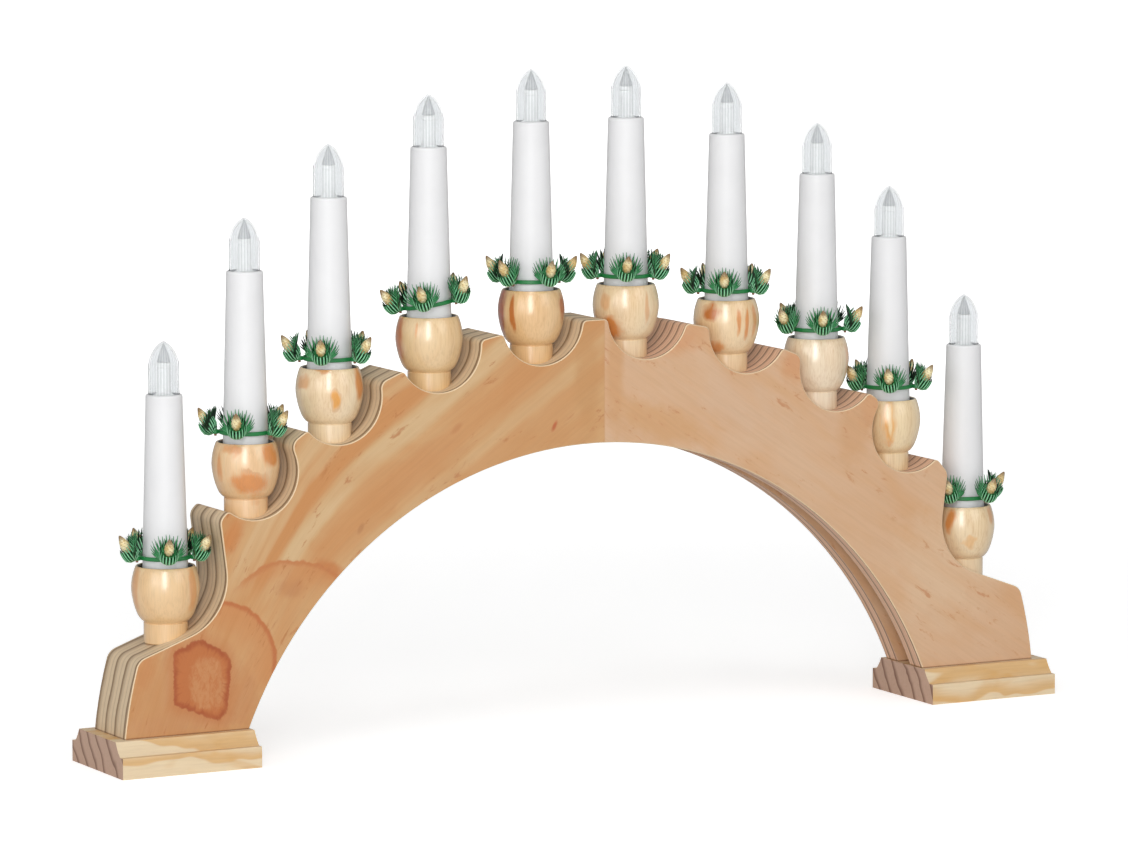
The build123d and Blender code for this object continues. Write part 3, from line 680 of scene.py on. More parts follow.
# Cup, place on its belly, half width and height in millimetres, share, tone, share of a rim
# Marks with a side near -0.9 and 0.9 lie on a cup's left and right edges as seen from the front: their darker
# tone is partly the wood's own colour and partly painted shade.
cup_marks = [
    (0, -0.88, 0.1, 4.0, 16.0, 0.5, ORANGE, 0), (0, 0.85, 0.1, 4.0, 16.0, 0.55, ORANGE, 0),
    (1, 0.15, -0.49, 10.5, 6.0, 0.85, ORANGE, 0.45), (1, 0.80, 0.35, 5.5, 7.0, 0.85, ORANGE, 0),
    (1, -0.35, 0.5, 6.0, 3.0, 0.6, ORANGE, 0), (1, -0.75, -0.1, 1.6, 14.0, 0.6, ORANGE, 0),
    (1, 0.5, -0.95, 6.0, 3.0, 0.6, ORANGE, 0), (2, 0.23, -0.34, 1.8, 7.8, 0.9, GOLD, 0.2),
    (2, -0.78, 0.25, 5.0, 4.0, 0.5, ORANGE, 0), (2, 0.92, 0.2, 4.0, 10.0, 0.85, ORANGE, 0),
    (2, -0.1, 0.72, 7.0, 1.6, 0.6, ORANGE, 0), (3, -0.90, 0.1, 5.0, 14.0, 0.95, BROWN, 0),
    (3, -0.38, 0.5, 1.3, 6.0, 0.6, ORANGE, 0), (4, -0.93, 0.1, 5.0, 16.0, 0.95, RUST_EDGE_SHADE, 0),
    (4, -0.60, 0.1, 1.5, 14.0, 0.85, BROWN, 0), (4, 0.95, 0.15, 4.0, 8.0, 0.95, RUST_EDGE_SHADE, 0),
    (5, -0.48, -0.6, 6.0, 5.0, 0.95, ORANGE, 0.15), (5, 0.65, -0.1, 1.6, 13.0, 0.45, ORANGE, 0),
    (5, -0.65, 0.2, 2.4, 5.0, 0.4, ORANGE, 0), (6, -0.52, 0.36, 5.2, 4.6, 0.95, BROWN, 0.2),
    (6, 0.36, 0.0, 1.1, 15.0, 0.75, ORANGE, 0), (6, 0.62, -0.1, 1.7, 15.0, 0.8, ORANGE, 0),
    (6, 0.86, 0.1, 1.6, 13.0, 0.6, ORANGE, 0), (6, -0.45, -0.8, 6.0, 4.0, 0.7, ORANGE, 0),
    (7, 0.95, -0.1, 2.6, 13.0, 0.5, ORANGE, 0), (8, 0.02, 0.0, 3.9, 14.0, 0.75, GOLD, 0.2),
    (8, 0.04, 0.2, 2.2, 12.0, 0.8, CREAM, 0), (8, 0.04, -0.72, 2.6, 3.4, 0.7, ORANGE, 0),
    (9, -0.45, 0.3, 2.6, 9.0, 0.85, ORANGE, 0), (9, 0.2, -0.4, 5.0, 3.0, 0.4, GOLD, 0),
    (9, 0.9, 0.4, 2.4, 6.0, 0.5, ORANGE, 0),
]
cup_patches = []
for x, z, tone in zip(candle_x, rim_z, cup_tones):
    cup_patches.append(((x, 0, z - 14.0), WHOLE_CUP, 0.62, shade(*tone), 0))
for i, side, height, half, tall, share, tone, edge in cup_marks:
    cup_patches.append((on_cup(i, side, height), (half, half, tall), share, tone, edge))
turned_pine(
    "turned_pine",
    pale=shade(243, 218, 176),
    warm=shade(230, 184, 122),
    line=shade(206, 144, 82),
    # The bore is painted near black, as shade.
    bore_shade=shade(24, 15, 10),
    patches=cup_patches,
)
NECK_RADIUS = 8.9
MOUTH_RADIUS = 11.0
SOCKET_FLOOR = -16.0
cup_profile = [(3.2, -CUP_HEIGHT), (NECK_RADIUS - 0.3, -CUP_HEIGHT), (NECK_RADIUS, -CUP_HEIGHT + 0.3)]
cup_profile += [(NECK_RADIUS, -23.0), (NECK_RADIUS - 0.25, -22.7), (NECK_RADIUS + 0.1, -22.35)]
cup_profile += [(9.7, -21.9), (10.5, -21.0), (11.15, -20.0), (11.7, -18.8), (12.4, -16.9)]
cup_profile += [(13.05, -14.5), (13.5, -12.2), (13.75, -10.2), (13.8, -8.8), (13.68, -6.8)]
cup_profile += [(13.35, -4.6), (12.85, -2.6), (12.4, -1.2), (12.12, -0.5), (11.85, -0.12)]
cup_profile += [(11.5, 0.0), (11.2, -0.1), (MOUTH_RADIUS, -0.4), (MOUTH_RADIUS, -5.0), (9.75, -6.4)]
cup_profile += [(9.72, SOCKET_FLOOR), (3.2, SOCKET_FLOOR), (3.2, -CUP_HEIGHT)]
cup = turned("cup_pattern", cup_profile, sides=72)
# Points in the bore are marked, for the bore to be painted near black as shade.
inside = []
for vertex in cup.data.vertices:
    deep = SOCKET_FLOOR - 0.5 < vertex.co.z / MM < -0.3
    inside.append(1.0 if deep and off_axis(vertex) / MM < MOUTH_RADIUS + 0.05 else 0.0)
mark(cup, "inside", inside)
for number, x, z in zip(numbers, candle_x, rim_z):
    piece = copy_of(cup, f"turned_cup_{number}", shift(x, z))
    give(piece, "turned_pine", "candle_arch", "turned_pine", "turned_cups")
bpy.data.objects.remove(cup)
print("cups", len(candle_x), "profile points", len(cup_profile))

# %% [markdown]
# ## The plain nodes
# The boards, dowels, feet, sleeves, holders and wires are right as the CAD makes them, and
# keep their meshes. The plastic is satin, very slightly mottled where the mould was cool.

# %% Plastics and metals
def plastic(name, colour, rough):
    f = Finish(name)
    mottle = f.noise(f.place, scale=0.06, detail=3.0)
    fine = f.noise(f.place, scale=1.6)
    darker = tuple(value * 0.975 for value in colour[:3]) + (1.0,)
    tone = f.blend(f.step(mottle, 0.35, 0.7), colour, darker)
    f.done(
        Base_Color=tone,
        Roughness=f.step(fine, 0.3, 0.7, rough - 0.04, rough + 0.05),
        Normal=f.bump(fine, 0.02, 0.4),
    )


def metal(name, colour, rough):
    f = Finish(name)
    fine = f.noise(f.place, scale=2.5, detail=3.0)
    tone = f.blend(f.step(fine, 0.35, 0.75, 0.0, 0.3), colour, shade(120, 104, 80))
    f.done(
        Base_Color=tone,
        Metallic=1.0,
        Roughness=f.step(fine, 0.3, 0.7, rough - 0.05, rough + 0.08),
        Normal=f.bump(fine, 0.01, 0.4),
    )


plastic("sleeve_plastic", shade(236, 236, 237), 0.42)
plastic("holder_plastic", shade(214, 214, 210), 0.5)
plastic("wire_sheath", shade(226, 224, 218), 0.4)
pine_moulding(
    "dowel_wood", shade(216, 182, 132), shade(196, 150, 98), shade(206, 170, 120), shade(168, 122, 76)
)
metal("screw_steel", shade(190, 190, 192), 0.3)
metal("lamp_base", shade(226, 198, 130), 0.25)
dressed = {
    "arch_left": "pine_left", "arch_right": "pine_right", "arch_dowels": "dowel_wood",
    "foot_left": "foot_pine", "foot_right": "foot_pine", "candle_sleeves": "sleeve_plastic",
    "lamp_holders": "holder_plastic", "jumper_wires": "wire_sheath",
}
for node, finish in dressed.items():
    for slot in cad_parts[node].material_slots:
        slot.material = finishes[finish]
print("dressed nodes", len(dressed))

# %% [markdown]
# ## The foot screws
# Four countersunk screws hold the feet. Only their heads show, from below, so they get the
# cross slot that such heads have. The slot is two crossed bars taken out of the head with a
# boolean modifier.

# %% Screws
SCREW_X = (-203.0, -179.0, 179.0, 203.0)
SCREW_TURNS = 12
SCREW_PITCH = 1.6
screw_profile = [(0.0, 0.5), (3.75, 0.5), (3.9, 0.62), (3.85, 0.8), (1.95, 2.8), (1.9, 8.0)]
for thread in range(SCREW_TURNS):
    low = 8.6 + thread * SCREW_PITCH
    screw_profile += [(1.5, low), (1.5, low + 0.7), (1.9, low + 1.1)]
screw_profile += [(1.4, 28.0), (0.0, 30.5)]
screw = turned("screw_pattern", screw_profile, sides=32)
bars = []
for size in ((4.6, 0.95, 3.2), (0.95, 4.6, 3.2)):
    deselect()
    bpy.ops.mesh.primitive_cube_add(size=1.0, location=(0, 0, 0))
    bar = bpy.context.object
    bar.data.transform(shift(0, 0.5) @ Matrix.Diagonal((*(value * MM for value in size), 1)))
    only(screw)
    slot = screw.modifiers.new("slot", "BOOLEAN")
    slot.object = bar
    slot.operation = "DIFFERENCE"
    bpy.ops.object.modifier_apply(modifier=slot.name)
    bars.append(bar)
for number, x in enumerate(SCREW_X, start=1):
    piece = copy_of(screw, f"foot_screw_{number}", shift(x, 0))
    give(piece, "screw_steel", "candle_arch", "screw_steel", "foot_screws")
for pattern in (screw, *bars):
    bpy.data.objects.remove(pattern)
print("screws", len(SCREW_X))

# %% [markdown]
# ## The lamps
# A lamp is a clear flame-shaped lens with fine upright ribs round its lower half. Inside
# stands a milky tube with the light source, which ends in a grey spike up to the point of
# the lens. The spike is a grey cone of painted shade, where the solid tip of the lens looks
# grey. Below, hidden in the holder until the lamp is screwed out, is the brass shell with
# its round-crested thread.

# %% Lamp lens
LENS_RADIUS = 6.3
LENS_WALL = 0.8
RIB_DEPTH = 0.26
RIB_TOP = 12.6
RIB_COLUMNS = 60
SLEEVE_RISE = 69.0
lens_side = [(LENS_RADIUS, -2.2), (LENS_RADIUS, 1.0), (LENS_RADIUS, 6.0), (LENS_RADIUS, 11.0)]
lens_dome = [(6.2, 12.2), (5.95, 13.6), (5.5, 15.0), (4.9, 16.4), (4.1, 17.8), (3.1, 19.1)]
lens_point = [(2.1, 20.1), (1.1, 20.8), (0.4, 21.2), (0.0, 21.3)]
inner_dome = [(r - LENS_WALL, z - 0.35) for r, z in reversed(lens_dome)]
lens_profile = [(LENS_RADIUS - 0.4, -2.7)] + lens_side + lens_dome + lens_point
lens_profile += [(0.0, 20.7), (0.8, 20.2)] + inner_dome + [(LENS_RADIUS - LENS_WALL, 10.0)]
lens_profile += [(LENS_RADIUS - LENS_WALL, -2.7), (LENS_RADIUS - 0.4, -2.7)]
lens_pattern = turned("lens_pattern", lens_profile, sides=RIB_COLUMNS)
for vertex in lens_pattern.data.vertices:
    on_outside = off_axis(vertex) / MM > LENS_RADIUS - 0.2 and -2.0 < vertex.co.z / MM < RIB_TOP
    if on_outside and column_of(vertex, RIB_COLUMNS) % 2 == 0:
        squeeze(vertex, 1 - RIB_DEPTH / LENS_RADIUS)
# Alternate rib columns are marked, for painted shade stripes on the lens.
ribs = []
for vertex in lens_pattern.data.vertices:
    ribs.append(column_of(vertex, RIB_COLUMNS) % 2 if vertex.co.z / MM < 19.5 else 0.5)
mark(lens_pattern, "rib", ribs)
print("lens ribs", RIB_COLUMNS // 2)

# %% Milky tube and its spike of painted shade
core_profile = [(0.0, -2.6), (4.9, -2.6), (4.9, -1.0), (3.4, 0.2), (2.9, 1.0), (2.82, 2.0)]
core_profile += [(2.82, 10.5), (2.62, 10.7), (2.62, 11.0), (2.82, 11.2), (2.82, 12.2)]
core_profile += [(2.65, 12.7), (2.2, 12.9), (0.0, 12.9)]
core_pattern = turned("core_pattern", core_profile, sides=24)
shade_spike_profile = [(0.0, 12.95), (2.65, 12.95), (2.75, 13.1), (2.3, 14.6), (1.6, 16.8)]
shade_spike_profile += [(0.85, 18.9), (0.15, 20.35), (0.0, 20.45)]
shade_spike_pattern = turned("shade_spike_pattern", shade_spike_profile, sides=24)

# %% Brass shell with its thread
SHELL_RADIUS = 4.68
THREAD_DEPTH = 0.42
THREAD_PITCH = 1.814
THREAD_SIDES = 32
SHELL_STEPS = 44
shell_top, shell_foot = -2.75, -11.3
shell_profile = [(0.0, shell_top), (SHELL_RADIUS, shell_top)]
for i in range(1, SHELL_STEPS + 1):
    shell_profile.append((SHELL_RADIUS, shell_top + (shell_foot - shell_top) * i / SHELL_STEPS))
shell_profile += [(3.4, -12.2), (1.7, -12.7), (1.7, -13.3), (1.2, -13.6), (0.0, -13.6)]
shell_pattern = turned("shell_pattern", shell_profile, sides=THREAD_SIDES)
for vertex in shell_pattern.data.vertices:
    height = vertex.co.z / MM
    if off_axis(vertex) / MM > SHELL_RADIUS - 0.01:
        turn_share = atan2(vertex.co.y, vertex.co.x) / (2 * pi)
        wave = (1 - cos(2 * pi * (height / THREAD_PITCH - turn_share))) / 2
        run_in = min(1.0, (shell_top - height) / 1.4) * min(1.0, height - shell_foot)
        squeeze(vertex, 1 - THREAD_DEPTH * wave * max(0.0, run_in) / SHELL_RADIUS)
print("thread turns", round((shell_top - shell_foot) / THREAD_PITCH, 1))


# %% Clear and milky plastic, and the grey of the painted shade spike
def clear_plastic(name):
    f = Finish(name)
    fine = f.noise(f.place, scale=0.35)
    # Alternate ribs are tinted a little greyer: painted shade stripes for the light through the ribs.
    tone = f.blend(f.step(f.own("rib"), 0.1, 0.9), shade(242, 243, 244), shade(224, 226, 227))
    f.done(
        Base_Color=tone,
        Roughness=f.step(fine, 0.3, 0.7, 0.06, 0.14),
        Normal=f.bump(fine, 0.05, 0.2),
        IOR=1.04,
        Transmission_Weight=0.86,
    )


def milky_plastic(name, pale, dark):
    f = Finish(name)
    fine = f.noise(f.place, scale=0.8)
    f.done(
        Base_Color=f.blend(f.step(fine, 0.3, 0.7), pale, dark),
        Roughness=f.step(fine, 0.3, 0.7, 0.2, 0.3),
        Normal=f.bump(fine, 0.03, 0.3),
    )


clear_plastic("lamp_lens")
milky_plastic("lamp_core", shade(250, 250, 249), shade(236, 237, 236))
# The grey spike is painted shade: it stands where the solid tip of the lens only looks grey.
milky_plastic("lamp_shade_spike", shade(196, 198, 198), shade(178, 180, 181))
lamp_pieces = [
    (lens_pattern, "lamp_glass", "lamp_lens", "lamp_lens", "lamp_lens", "bulb_lens"),
    (shell_pattern, "lamp_shell", "lamp_base", "lamp_base", "lamp_base", "bulb_base"),
    (core_pattern, "lamp_tube", "lamp_core", "lamp_base", "lamp_lens", None),
    (shade_spike_pattern, "lamp_shade_spike", "lamp_shade_spike", "lamp_base", "lamp_lens", None),
]
for number, x, z in zip(numbers, candle_x, rim_z):
    place = shift(x, z + SLEEVE_RISE)
    for pattern, title, finish, body, slot, node in lamp_pieces:
        piece = copy_of(pattern, f"{title}_{number}", place)
        stands_for = (f"{node}_{number}",) if node else ()
        give(piece, finish, f"{body}_{number}", slot, *stands_for)
for pattern, *_ in lamp_pieces:
    bpy.data.objects.remove(pattern)
print("lamps", len(candle_x))

# %% [markdown]
# ## The needle sprigs
# A sprig is a tuft of moulded needles. In front they run side by side as ribs round a small
# bowl that leans outwards, with blunt ends. Behind the bowl the longer ones part into a wide
# fan. One needle is modelled straight, then bent along its own way for each place in the
# tuft. A share is kept on each point, one on the back of a rib and none between the ribs, so
# that the finish can follow it: it paints a highlight along the backs of the ribs, and shade
# between them and on the bowl.

# %% One straight needle
NEEDLE_WIDTHS = ((0.0, 0.6), (0.16, 0.92), (0.40, 1.0), (0.62, 0.98), (0.80, 0.86), (0.94, 0.62), (1.0, 0.24))
deselect()
bpy.ops.mesh.primitive_circle_add(vertices=6, radius=0.5, fill_type="NGON", location=(0, 0, 0))
needle = named("needle_pattern")
edit()
bpy.ops.transform.resize(value=(NEEDLE_WIDTHS[0][1], NEEDLE_WIDTHS[0][1], 1))
for (t0, w0), (t1, w1) in zip(NEEDLE_WIDTHS, NEEDLE_WIDTHS[1:]):
    bpy.ops.mesh.extrude_region_move(TRANSFORM_OT_translate={"value": (0, 0, t1 - t0)})
    bpy.ops.transform.resize(value=(w1 / w0, w1 / w0, 1))
bpy.ops.mesh.select_all(action="SELECT")
bpy.ops.mesh.normals_make_consistent(inside=False)
bpy.ops.object.mode_set(mode="OBJECT")
# Each point keeps a share, one on the back of the needle and none at its sides, for its painted highlight and
# shade.
shade_and_sprue = [max(0.0, vertex.co.y / max(0.05, off_axis(vertex))) for vertex in needle.data.vertices]
mark(needle, "shade_and_sprue", shade_and_sprue)
print("needle faces", len(needle.data.polygons))

# %% The way of a needle
BOWL_ROOT = Vector((12.9, 0, 0.3))
BOWL_LEAN = radians(35.0)
BOWL_LEVELS = ((0.0, 1.1, 1.1), (1.1, 2.9, 3.2), (3.4, 3.4, 3.7), (5.7, 3.2, 3.7))
BACK_RISE = 4.0


def bowl_stops(angle, reach=1.0, rise=0.0):
    """Four points of a rib: each level is a height up the bowl and its half depth and width."""
    stops = []
    for i, (up, half_depth, half_width) in enumerate(BOWL_LEVELS):
        out = reach * half_depth * cos(angle)
        up += rise * (1 - cos(angle)) / 2 * i / 3
        x = up * sin(BOWL_LEAN) + out * cos(BOWL_LEAN)
        z = up * cos(BOWL_LEAN) - out * sin(BOWL_LEAN)
        stops.append(BOWL_ROOT + Vector((x, reach * half_width * sin(angle), z)))
    return stops


def fan_stops(x, y, z):
    """Four points of a needle of the fan, which parts from the others soon and ends at x, y, z."""
    tip, root = Vector((x, y, z)), Vector((13.3, 0.12 * y, 1.0))
    bend = Vector((14.2, 0.5 * y, 1.0 + 0.26 * (z - 1.0)))
    return [root, bend, bend.lerp(tip, 0.5) + Vector((0, 0.05 * y, 0)), tip]


def needle_way(stops, t):
    """Where a needle is at share t of its length: a smooth curve through its four points."""
    stops = [2 * stops[0] - stops[1]] + stops + [2 * stops[3] - stops[2]]
    place = min(t, 0.9999) * 3
    i = int(place)
    u = place - i
    p0, p1, p2, p3 = stops[i:i + 4]
    return 0.5 * (
        2 * p1 + (p2 - p0) * u + (2 * p0 - 5 * p1 + 4 * p2 - p3) * u**2 + (3 * p1 - p0 - 3 * p2 + p3) * u**3
    )


def bent_needle(stops, side, name, width, pointed=0.0):
    """The straight needle bent along its way, its back turned out and its end made a point."""
    twin = copy_of(needle, name, Matrix.Identity(4))
    for vertex in twin.data.vertices:
        t = vertex.co.z
        middle = needle_way(stops, t)
        ahead = needle_way(stops, min(t + 0.02, 0.999)) - needle_way(stops, max(t - 0.02, 0.0))
        out = side.cross(ahead).normalized()
        slim = width * (1 - pointed * t**1.5)
        vertex.co = middle + slim * (vertex.co.x * side + vertex.co.y * 0.95 * out)
    return twin


# %% The bowl behind the needles
deselect()
bpy.ops.mesh.primitive_uv_sphere_add(segments=20, ring_count=10, radius=1.0)
bowl = named("bowl_pattern")
BOWL_TOP = 0.86
BOWL_REACH = 0.88
BOWL_FLOOR = BOWL_ROOT + Vector((3.9 * sin(BOWL_LEAN), 0, 3.9 * cos(BOWL_LEAN)))
# The bowl gets a low share: it is painted dark, as shade behind and between the ribs.
mark(bowl, "shade_and_sprue", [0.42 if vertex.co.z > 0 else 0.0 for vertex in bowl.data.vertices])
for vertex in bowl.data.vertices:
    spread = min(1.0, off_axis(vertex))
    stops = bowl_stops(atan2(vertex.co.y, vertex.co.x), BOWL_REACH)
    if vertex.co.z <= 0:
        foot = needle_way(stops, BOWL_TOP * (1 - sqrt(1 - spread**2)))
        vertex.co = BOWL_ROOT.lerp(foot, min(1.0, spread * 3))
    else:
        vertex.co = BOWL_FLOOR.lerp(needle_way(stops, BOWL_TOP), spread)
print("bowl faces", len(bowl.data.polygons))

# %% Sprig
RIB_COUNT = 18
FAN_TIPS = (
    (12.4, 0.7, 11.3), (12.6, 2.3, 10.7), (13.0, 4.0, 11.0), (13.3, 5.5, 9.9),
    (13.9, 6.6, 9.2), (14.4, 7.2, 7.6), (15.0, 7.3, 6.2), (15.6, 7.0, 4.7),
    (13.6, 1.5, 10.0), (13.9, 3.2, 9.6), (14.3, 4.8, 9.0), (15.0, 6.2, 7.2),
)
PEG_DROP = 0.9
EYELET_X = 12.1
needles = []
for i in range(RIB_COUNT):
    angle = 2 * pi * i / RIB_COUNT
    side, pointed = Vector((-sin(angle), cos(angle), 0)), 0.75 * (1 - cos(angle)) / 2
    needles.append(bent_needle(bowl_stops(angle, 1.0, BACK_RISE), side, f"rib_{i}", 1.02, pointed))
for i, (x, y, z) in enumerate(FAN_TIPS):
    for mirror in (-1, 1):
        side = Vector((0, 0, -mirror)).lerp(Vector((0, 1, 0)), 1 - y / 8).normalized()
        needles.append(bent_needle(fan_stops(x, mirror * y, z), side, f"fan_{i}_{mirror}", 1.15, 0.55))
        # The fan needles get a fainter painted highlight.
        for share in needles[-1].data.attributes["shade_and_sprue"].data:
            share.value *= 0.76
deselect()
bpy.ops.mesh.primitive_cylinder_add(vertices=10, radius=0.6, depth=4.0, location=(0, 0, 0))
peg = bpy.context.object
peg.data.transform(Matrix.Translation((EYELET_X, 0, 2.0 - PEG_DROP)))
only(peg)
edit()
bpy.ops.mesh.bevel(offset=0.12, segments=1)
bpy.ops.object.mode_set(mode="OBJECT")
sprig = joined(needles + [bowl, peg], "sprig_pattern")
only(sprig)
edit()
bpy.ops.mesh.normals_make_consistent(inside=False)
bpy.ops.object.mode_set(mode="OBJECT")
bpy.ops.object.shade_smooth_by_angle(angle=radians(50))
for i, vertex in enumerate(sprig.data.vertices):
    off_peg = sqrt((vertex.co.x - EYELET_X)**2 + vertex.co.y**2)
    if vertex.co.z < -0.4 and off_peg < 0.8:
        sprig.data.attributes["shade_and_sprue"].data[i].value = -1.0
sprig.data.transform(Matrix.Diagonal((MM, MM, MM, 1)))
bpy.data.objects.remove(needle)
print("sprig triangles", sum(len(p.vertices) - 2 for p in sprig.data.polygons))

# %% Band and eyelets
band_profile = [(9.6, 0.25), (9.8, 0.0), (10.6, 0.0), (10.8, 0.25), (10.8, 1.35), (10.6, 1.6), (9.8, 1.6)]
band_profile += [(9.6, 1.35), (9.6, 0.25)]
band = turned("band_pattern", band_profile, sides=60)
eyelet_profile = [(0.75, 0.0), (1.4, 0.0), (1.6, 0.2), (1.6, 1.4), (1.4, 1.6), (0.75, 1.6), (0.75, 0.0)]
eyelet = turned("eyelet_pattern", eyelet_profile, sides=16)
for part in (band, eyelet):
    mark(part, "shade_and_sprue", [0.56] * len(part.data.vertices))

# %% [markdown]
# ## The little cones
# Each tuft holds a pale gold cone that leans outwards. It is turned with one step for each
# row of scales. Then every second point of a row is drawn in and the others are pulled down
# and out, staggered from row to row, which gives the pointed scales. Under each scale point
# the cone is painted dark brown, as shade. Its tip is brown.

# %% Cone
CONE_SIDES = 12
CONE_LENGTH = 8.2
CONE_ROWS = 9
CONE_SHAPE = (
    (0.0, 1.0), (0.14, 1.65), (0.30, 2.0), (0.46, 2.0),
    (0.6, 1.75), (0.74, 1.3), (0.88, 0.75), (1.0, 0.1),
)


def cone_radius(share):
    for (s0, r0), (s1, r1) in zip(CONE_SHAPE, CONE_SHAPE[1:]):
        if share <= s1:
            return r0 + (r1 - r0) * (share - s0) / (s1 - s0)
    return CONE_SHAPE[-1][1]


cone_profile = [(0.0, 0.0), (CONE_SHAPE[0][1] * 0.8, 0.0)]
for row in range(CONE_ROWS):
    low, high = row / CONE_ROWS, (row + 1) / CONE_ROWS
    cone_profile.append((cone_radius(low) * 0.96, (low + 0.15 * (high - low)) * CONE_LENGTH))
    cone_profile.append((cone_radius((low + high) / 2), (low + 0.55 * (high - low)) * CONE_LENGTH))
cone_profile += [(0.25, 0.97 * CONE_LENGTH), (0.0, CONE_LENGTH)]
cone = turned("cone_pattern", cone_profile, sides=CONE_SIDES, crease=40.0)
tips, scale_shades = [], []
for vertex in cone.data.vertices:
    share = vertex.co.z / MM / CONE_LENGTH
    row = int(share * CONE_ROWS + 0.001)
    within = share * CONE_ROWS - row
    scale_point = (column_of(vertex, CONE_SIDES) + row) % 2 == 0
    tips.append(max(0.0, min(1.0, share)))
    # Points under each scale point get one, for painted shade under the scales.
    scale_shades.append(0.0 if within > 0.4 or not scale_point else 1.0)
    if within > 0.4 and share < 0.95:
        vertex.co.z -= (0.22 if scale_point else -0.2) * MM
        squeeze(vertex, 1.09 if scale_point else 0.92)
mark(cone, "tip", tips)
mark(cone, "scale_shade", scale_shades)
CONE_FOOT = (15.3, 3.2)
CONE_LEAN = 30.0
cone.data.transform(shift(*CONE_FOOT) @ spun(CONE_LEAN, "Y"))
print("cone triangles", sum(len(p.vertices) - 2 for p in cone.data.polygons))

# %% Green and gold
def needle_green(name):
    f = Finish(name)
    shade_and_sprue = f.own("shade_and_sprue")
    mottle = f.noise(f.place, scale=0.5, detail=3.0)
    # Painted shade and highlight: near black where the share is low, between the ribs and on the bowl, and a
    # pale highlight along the backs of the ribs.
    tone = f.blend(f.step(shade_and_sprue, 0.12, 0.56), shade(2, 26, 12), shade(34, 130, 68))
    tone = f.blend(f.step(shade_and_sprue, 0.58, 0.90), tone, shade(164, 236, 190))
    tone = f.blend(f.step(mottle, 0.35, 0.68, 0.0, 0.2), tone, shade(22, 104, 52))
    tone = f.blend(f.step(shade_and_sprue, -0.7, -0.2, 1.0, 0.0), tone, shade(150, 104, 82))
    surface = {"Base_Color": tone, "Roughness": 0.34, "Coat_Weight": 0.12, "Coat_Roughness": 0.15}
    f.done(Normal=f.bump(mottle, 0.04, 0.3), **surface)


def cone_gold(name):
    f = Finish(name)
    mottle = f.noise(f.place, scale=0.32, detail=3.0)
    tone = f.blend(f.step(mottle, 0.38, 0.62), shade(250, 238, 190), shade(222, 190, 124))
    # Painted shade: dark brown under each scale point.
    tone = f.blend(f.step(f.own("scale_shade"), 0.3, 0.9, 0.0, 0.8), tone, shade(142, 104, 56))
    tone = f.blend(f.step(f.own("tip"), 0.60, 0.92, 0.0, 0.85), tone, shade(118, 84, 46))
    surface = {"Base_Color": tone, "Roughness": 0.3, "Coat_Weight": 0.35, "Coat_Roughness": 0.2}
    f.done(Normal=f.bump(mottle, 0.06, 0.4), **surface)


needle_green("needle_green")
cone_gold("cone_gold")

# %% [markdown]
# ## The ten rings
# The sprigs sit loosely in their eyelets, so each has turned a little on its peg. The
# turns are a fixed uneven row of angles, and the cones turn with their sprigs.

# %% Rings in their places
PEG_TURNS = (0.0, 9.0, -14.0, 6.0, -20.0, 12.0, -5.0, 17.0, -9.0)
PEG_AT = shift(EYELET_X, 0)


def on_peg(place, turn, twist):
    """The place of a sprig: at its eyelet, twisted about its peg."""
    return place @ turn @ PEG_AT @ spun(twist) @ PEG_AT.inverted()


for i, number in enumerate(numbers):
    place = ring_place(i)
    greens, buds = [copy_of(band, f"band_{number}", place)], []
    for j in range(5):
        turn = spun(72 * j)
        spot = on_peg(place, turn, PEG_TURNS[(5 * i + 2 * j) % len(PEG_TURNS)])
        greens.append(copy_of(sprig, f"sprig_{number}_{j}", spot))
        greens.append(copy_of(eyelet, f"eyelet_{number}_{j}", place @ turn @ PEG_AT))
        buds.append(copy_of(cone, f"bud_{number}_{j}", spot))
    piece = joined(greens, f"wreath_ring_{number}")
    stands_for = (f"wreath_band_{number}", f"wreath_sprigs_{number}")
    give(piece, "needle_green", f"ring_{number}", "needle_green", *stands_for)
    piece = joined(buds, f"wreath_buds_{number}")
    give(piece, "cone_gold", f"ring_{number}", "cone_gold", f"wreath_cones_{number}")
for pattern in (sprig, band, eyelet, cone):
    bpy.data.objects.remove(pattern)
print("rings", len(numbers))

# %% [markdown]
# ## Floor and light
# The photograph has a white ground. The floor is pale and takes the soft shadow of the
# arch; what the camera sees of it is lifted to white by a share of light of its own, which
# falls on nothing else. Two narrow soft lamps in front, one above the other, give the tall
# upright shine on the cups. A wide one on the right and a low one on the left even out the
# rest.

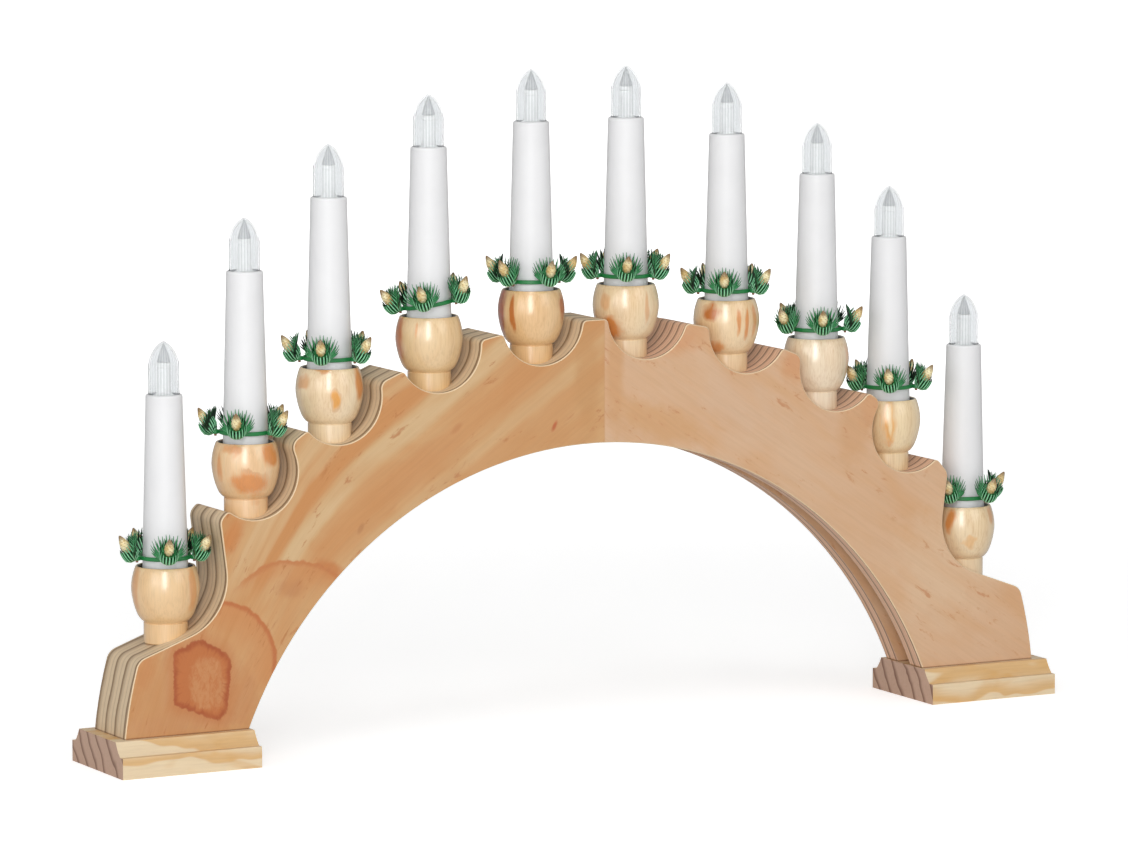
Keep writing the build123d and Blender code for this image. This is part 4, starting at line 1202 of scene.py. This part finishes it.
# %% Floor, world and lamps
deselect()
bpy.ops.mesh.primitive_plane_add(size=60.0, location=(0, 0, 0))
floor = named("floor")


def seen_white(net, strength):
    """A strength that counts only where the camera or a glass sees the surface."""
    path = net.node("ShaderNodeLightPath").outputs
    return net.math("MAXIMUM", path["Is Camera Ray"], path["Is Transmission Ray"]) * strength


ground = bpy.data.materials.new("floor_white")
ground.use_nodes = True
net = Net(ground.node_tree)
matt = net.node("ShaderNodeBsdfDiffuse", {"Color": (0.86, 0.86, 0.86, 1)})
fade = net.step(net.length(net.node("ShaderNodeTexCoord").outputs["Object"]), 0.35, 1.6, 0.50, 1.0)
glow = net.node("ShaderNodeEmission", {"Strength": seen_white(net, 1.0) * fade})
both = net.node("ShaderNodeAddShader", {0: matt.outputs[0], 1: glow.outputs[0]})
net.node("ShaderNodeOutputMaterial", {"Surface": both.outputs[0]})
floor.data.materials.append(ground)

WORLD_LIGHT = 0.40
world = bpy.data.worlds.new("studio")
bpy.context.scene.world = world
world.use_nodes = True
net = Net(world.node_tree)
light = seen_white(net, 1 - WORLD_LIGHT) + WORLD_LIGHT
sky = net.node("ShaderNodeBackground", {"Color": (1, 1, 1, 1), "Strength": light})
net.node("ShaderNodeOutputWorld", {"Surface": sky.outputs[0]})


def softbox(name, place, aim, size, power):
    data = bpy.data.lights.new(name, "AREA")
    data.shape = "RECTANGLE"
    data.size, data.size_y = size
    data.energy = power
    lamp = bpy.data.objects.new(name, data)
    lamp.location = place
    lamp.rotation_euler = (Vector(aim) - Vector(place)).to_track_quat("-Z", "Y").to_euler()
    bpy.context.collection.objects.link(lamp)


middle = (0, 0, 0.13)
softbox("tall_front", (-1.28, -2.15, 0.84), (0, 0, 0.30), (0.60, 1.62), 24.0)
softbox("high_front", (-0.75, -1.30, 2.45), middle, (0.40, 1.4), 9.5)
softbox("wide_right", (1.4, -3.2, 1.5), middle, (2.2, 1.8), 15.0)
softbox("low_left", (-2.4, -1.3, 0.7), (0, 0, 0.06), (1.4, 1.0), 9.0)
bpy.context.scene.view_settings.view_transform = "Standard"
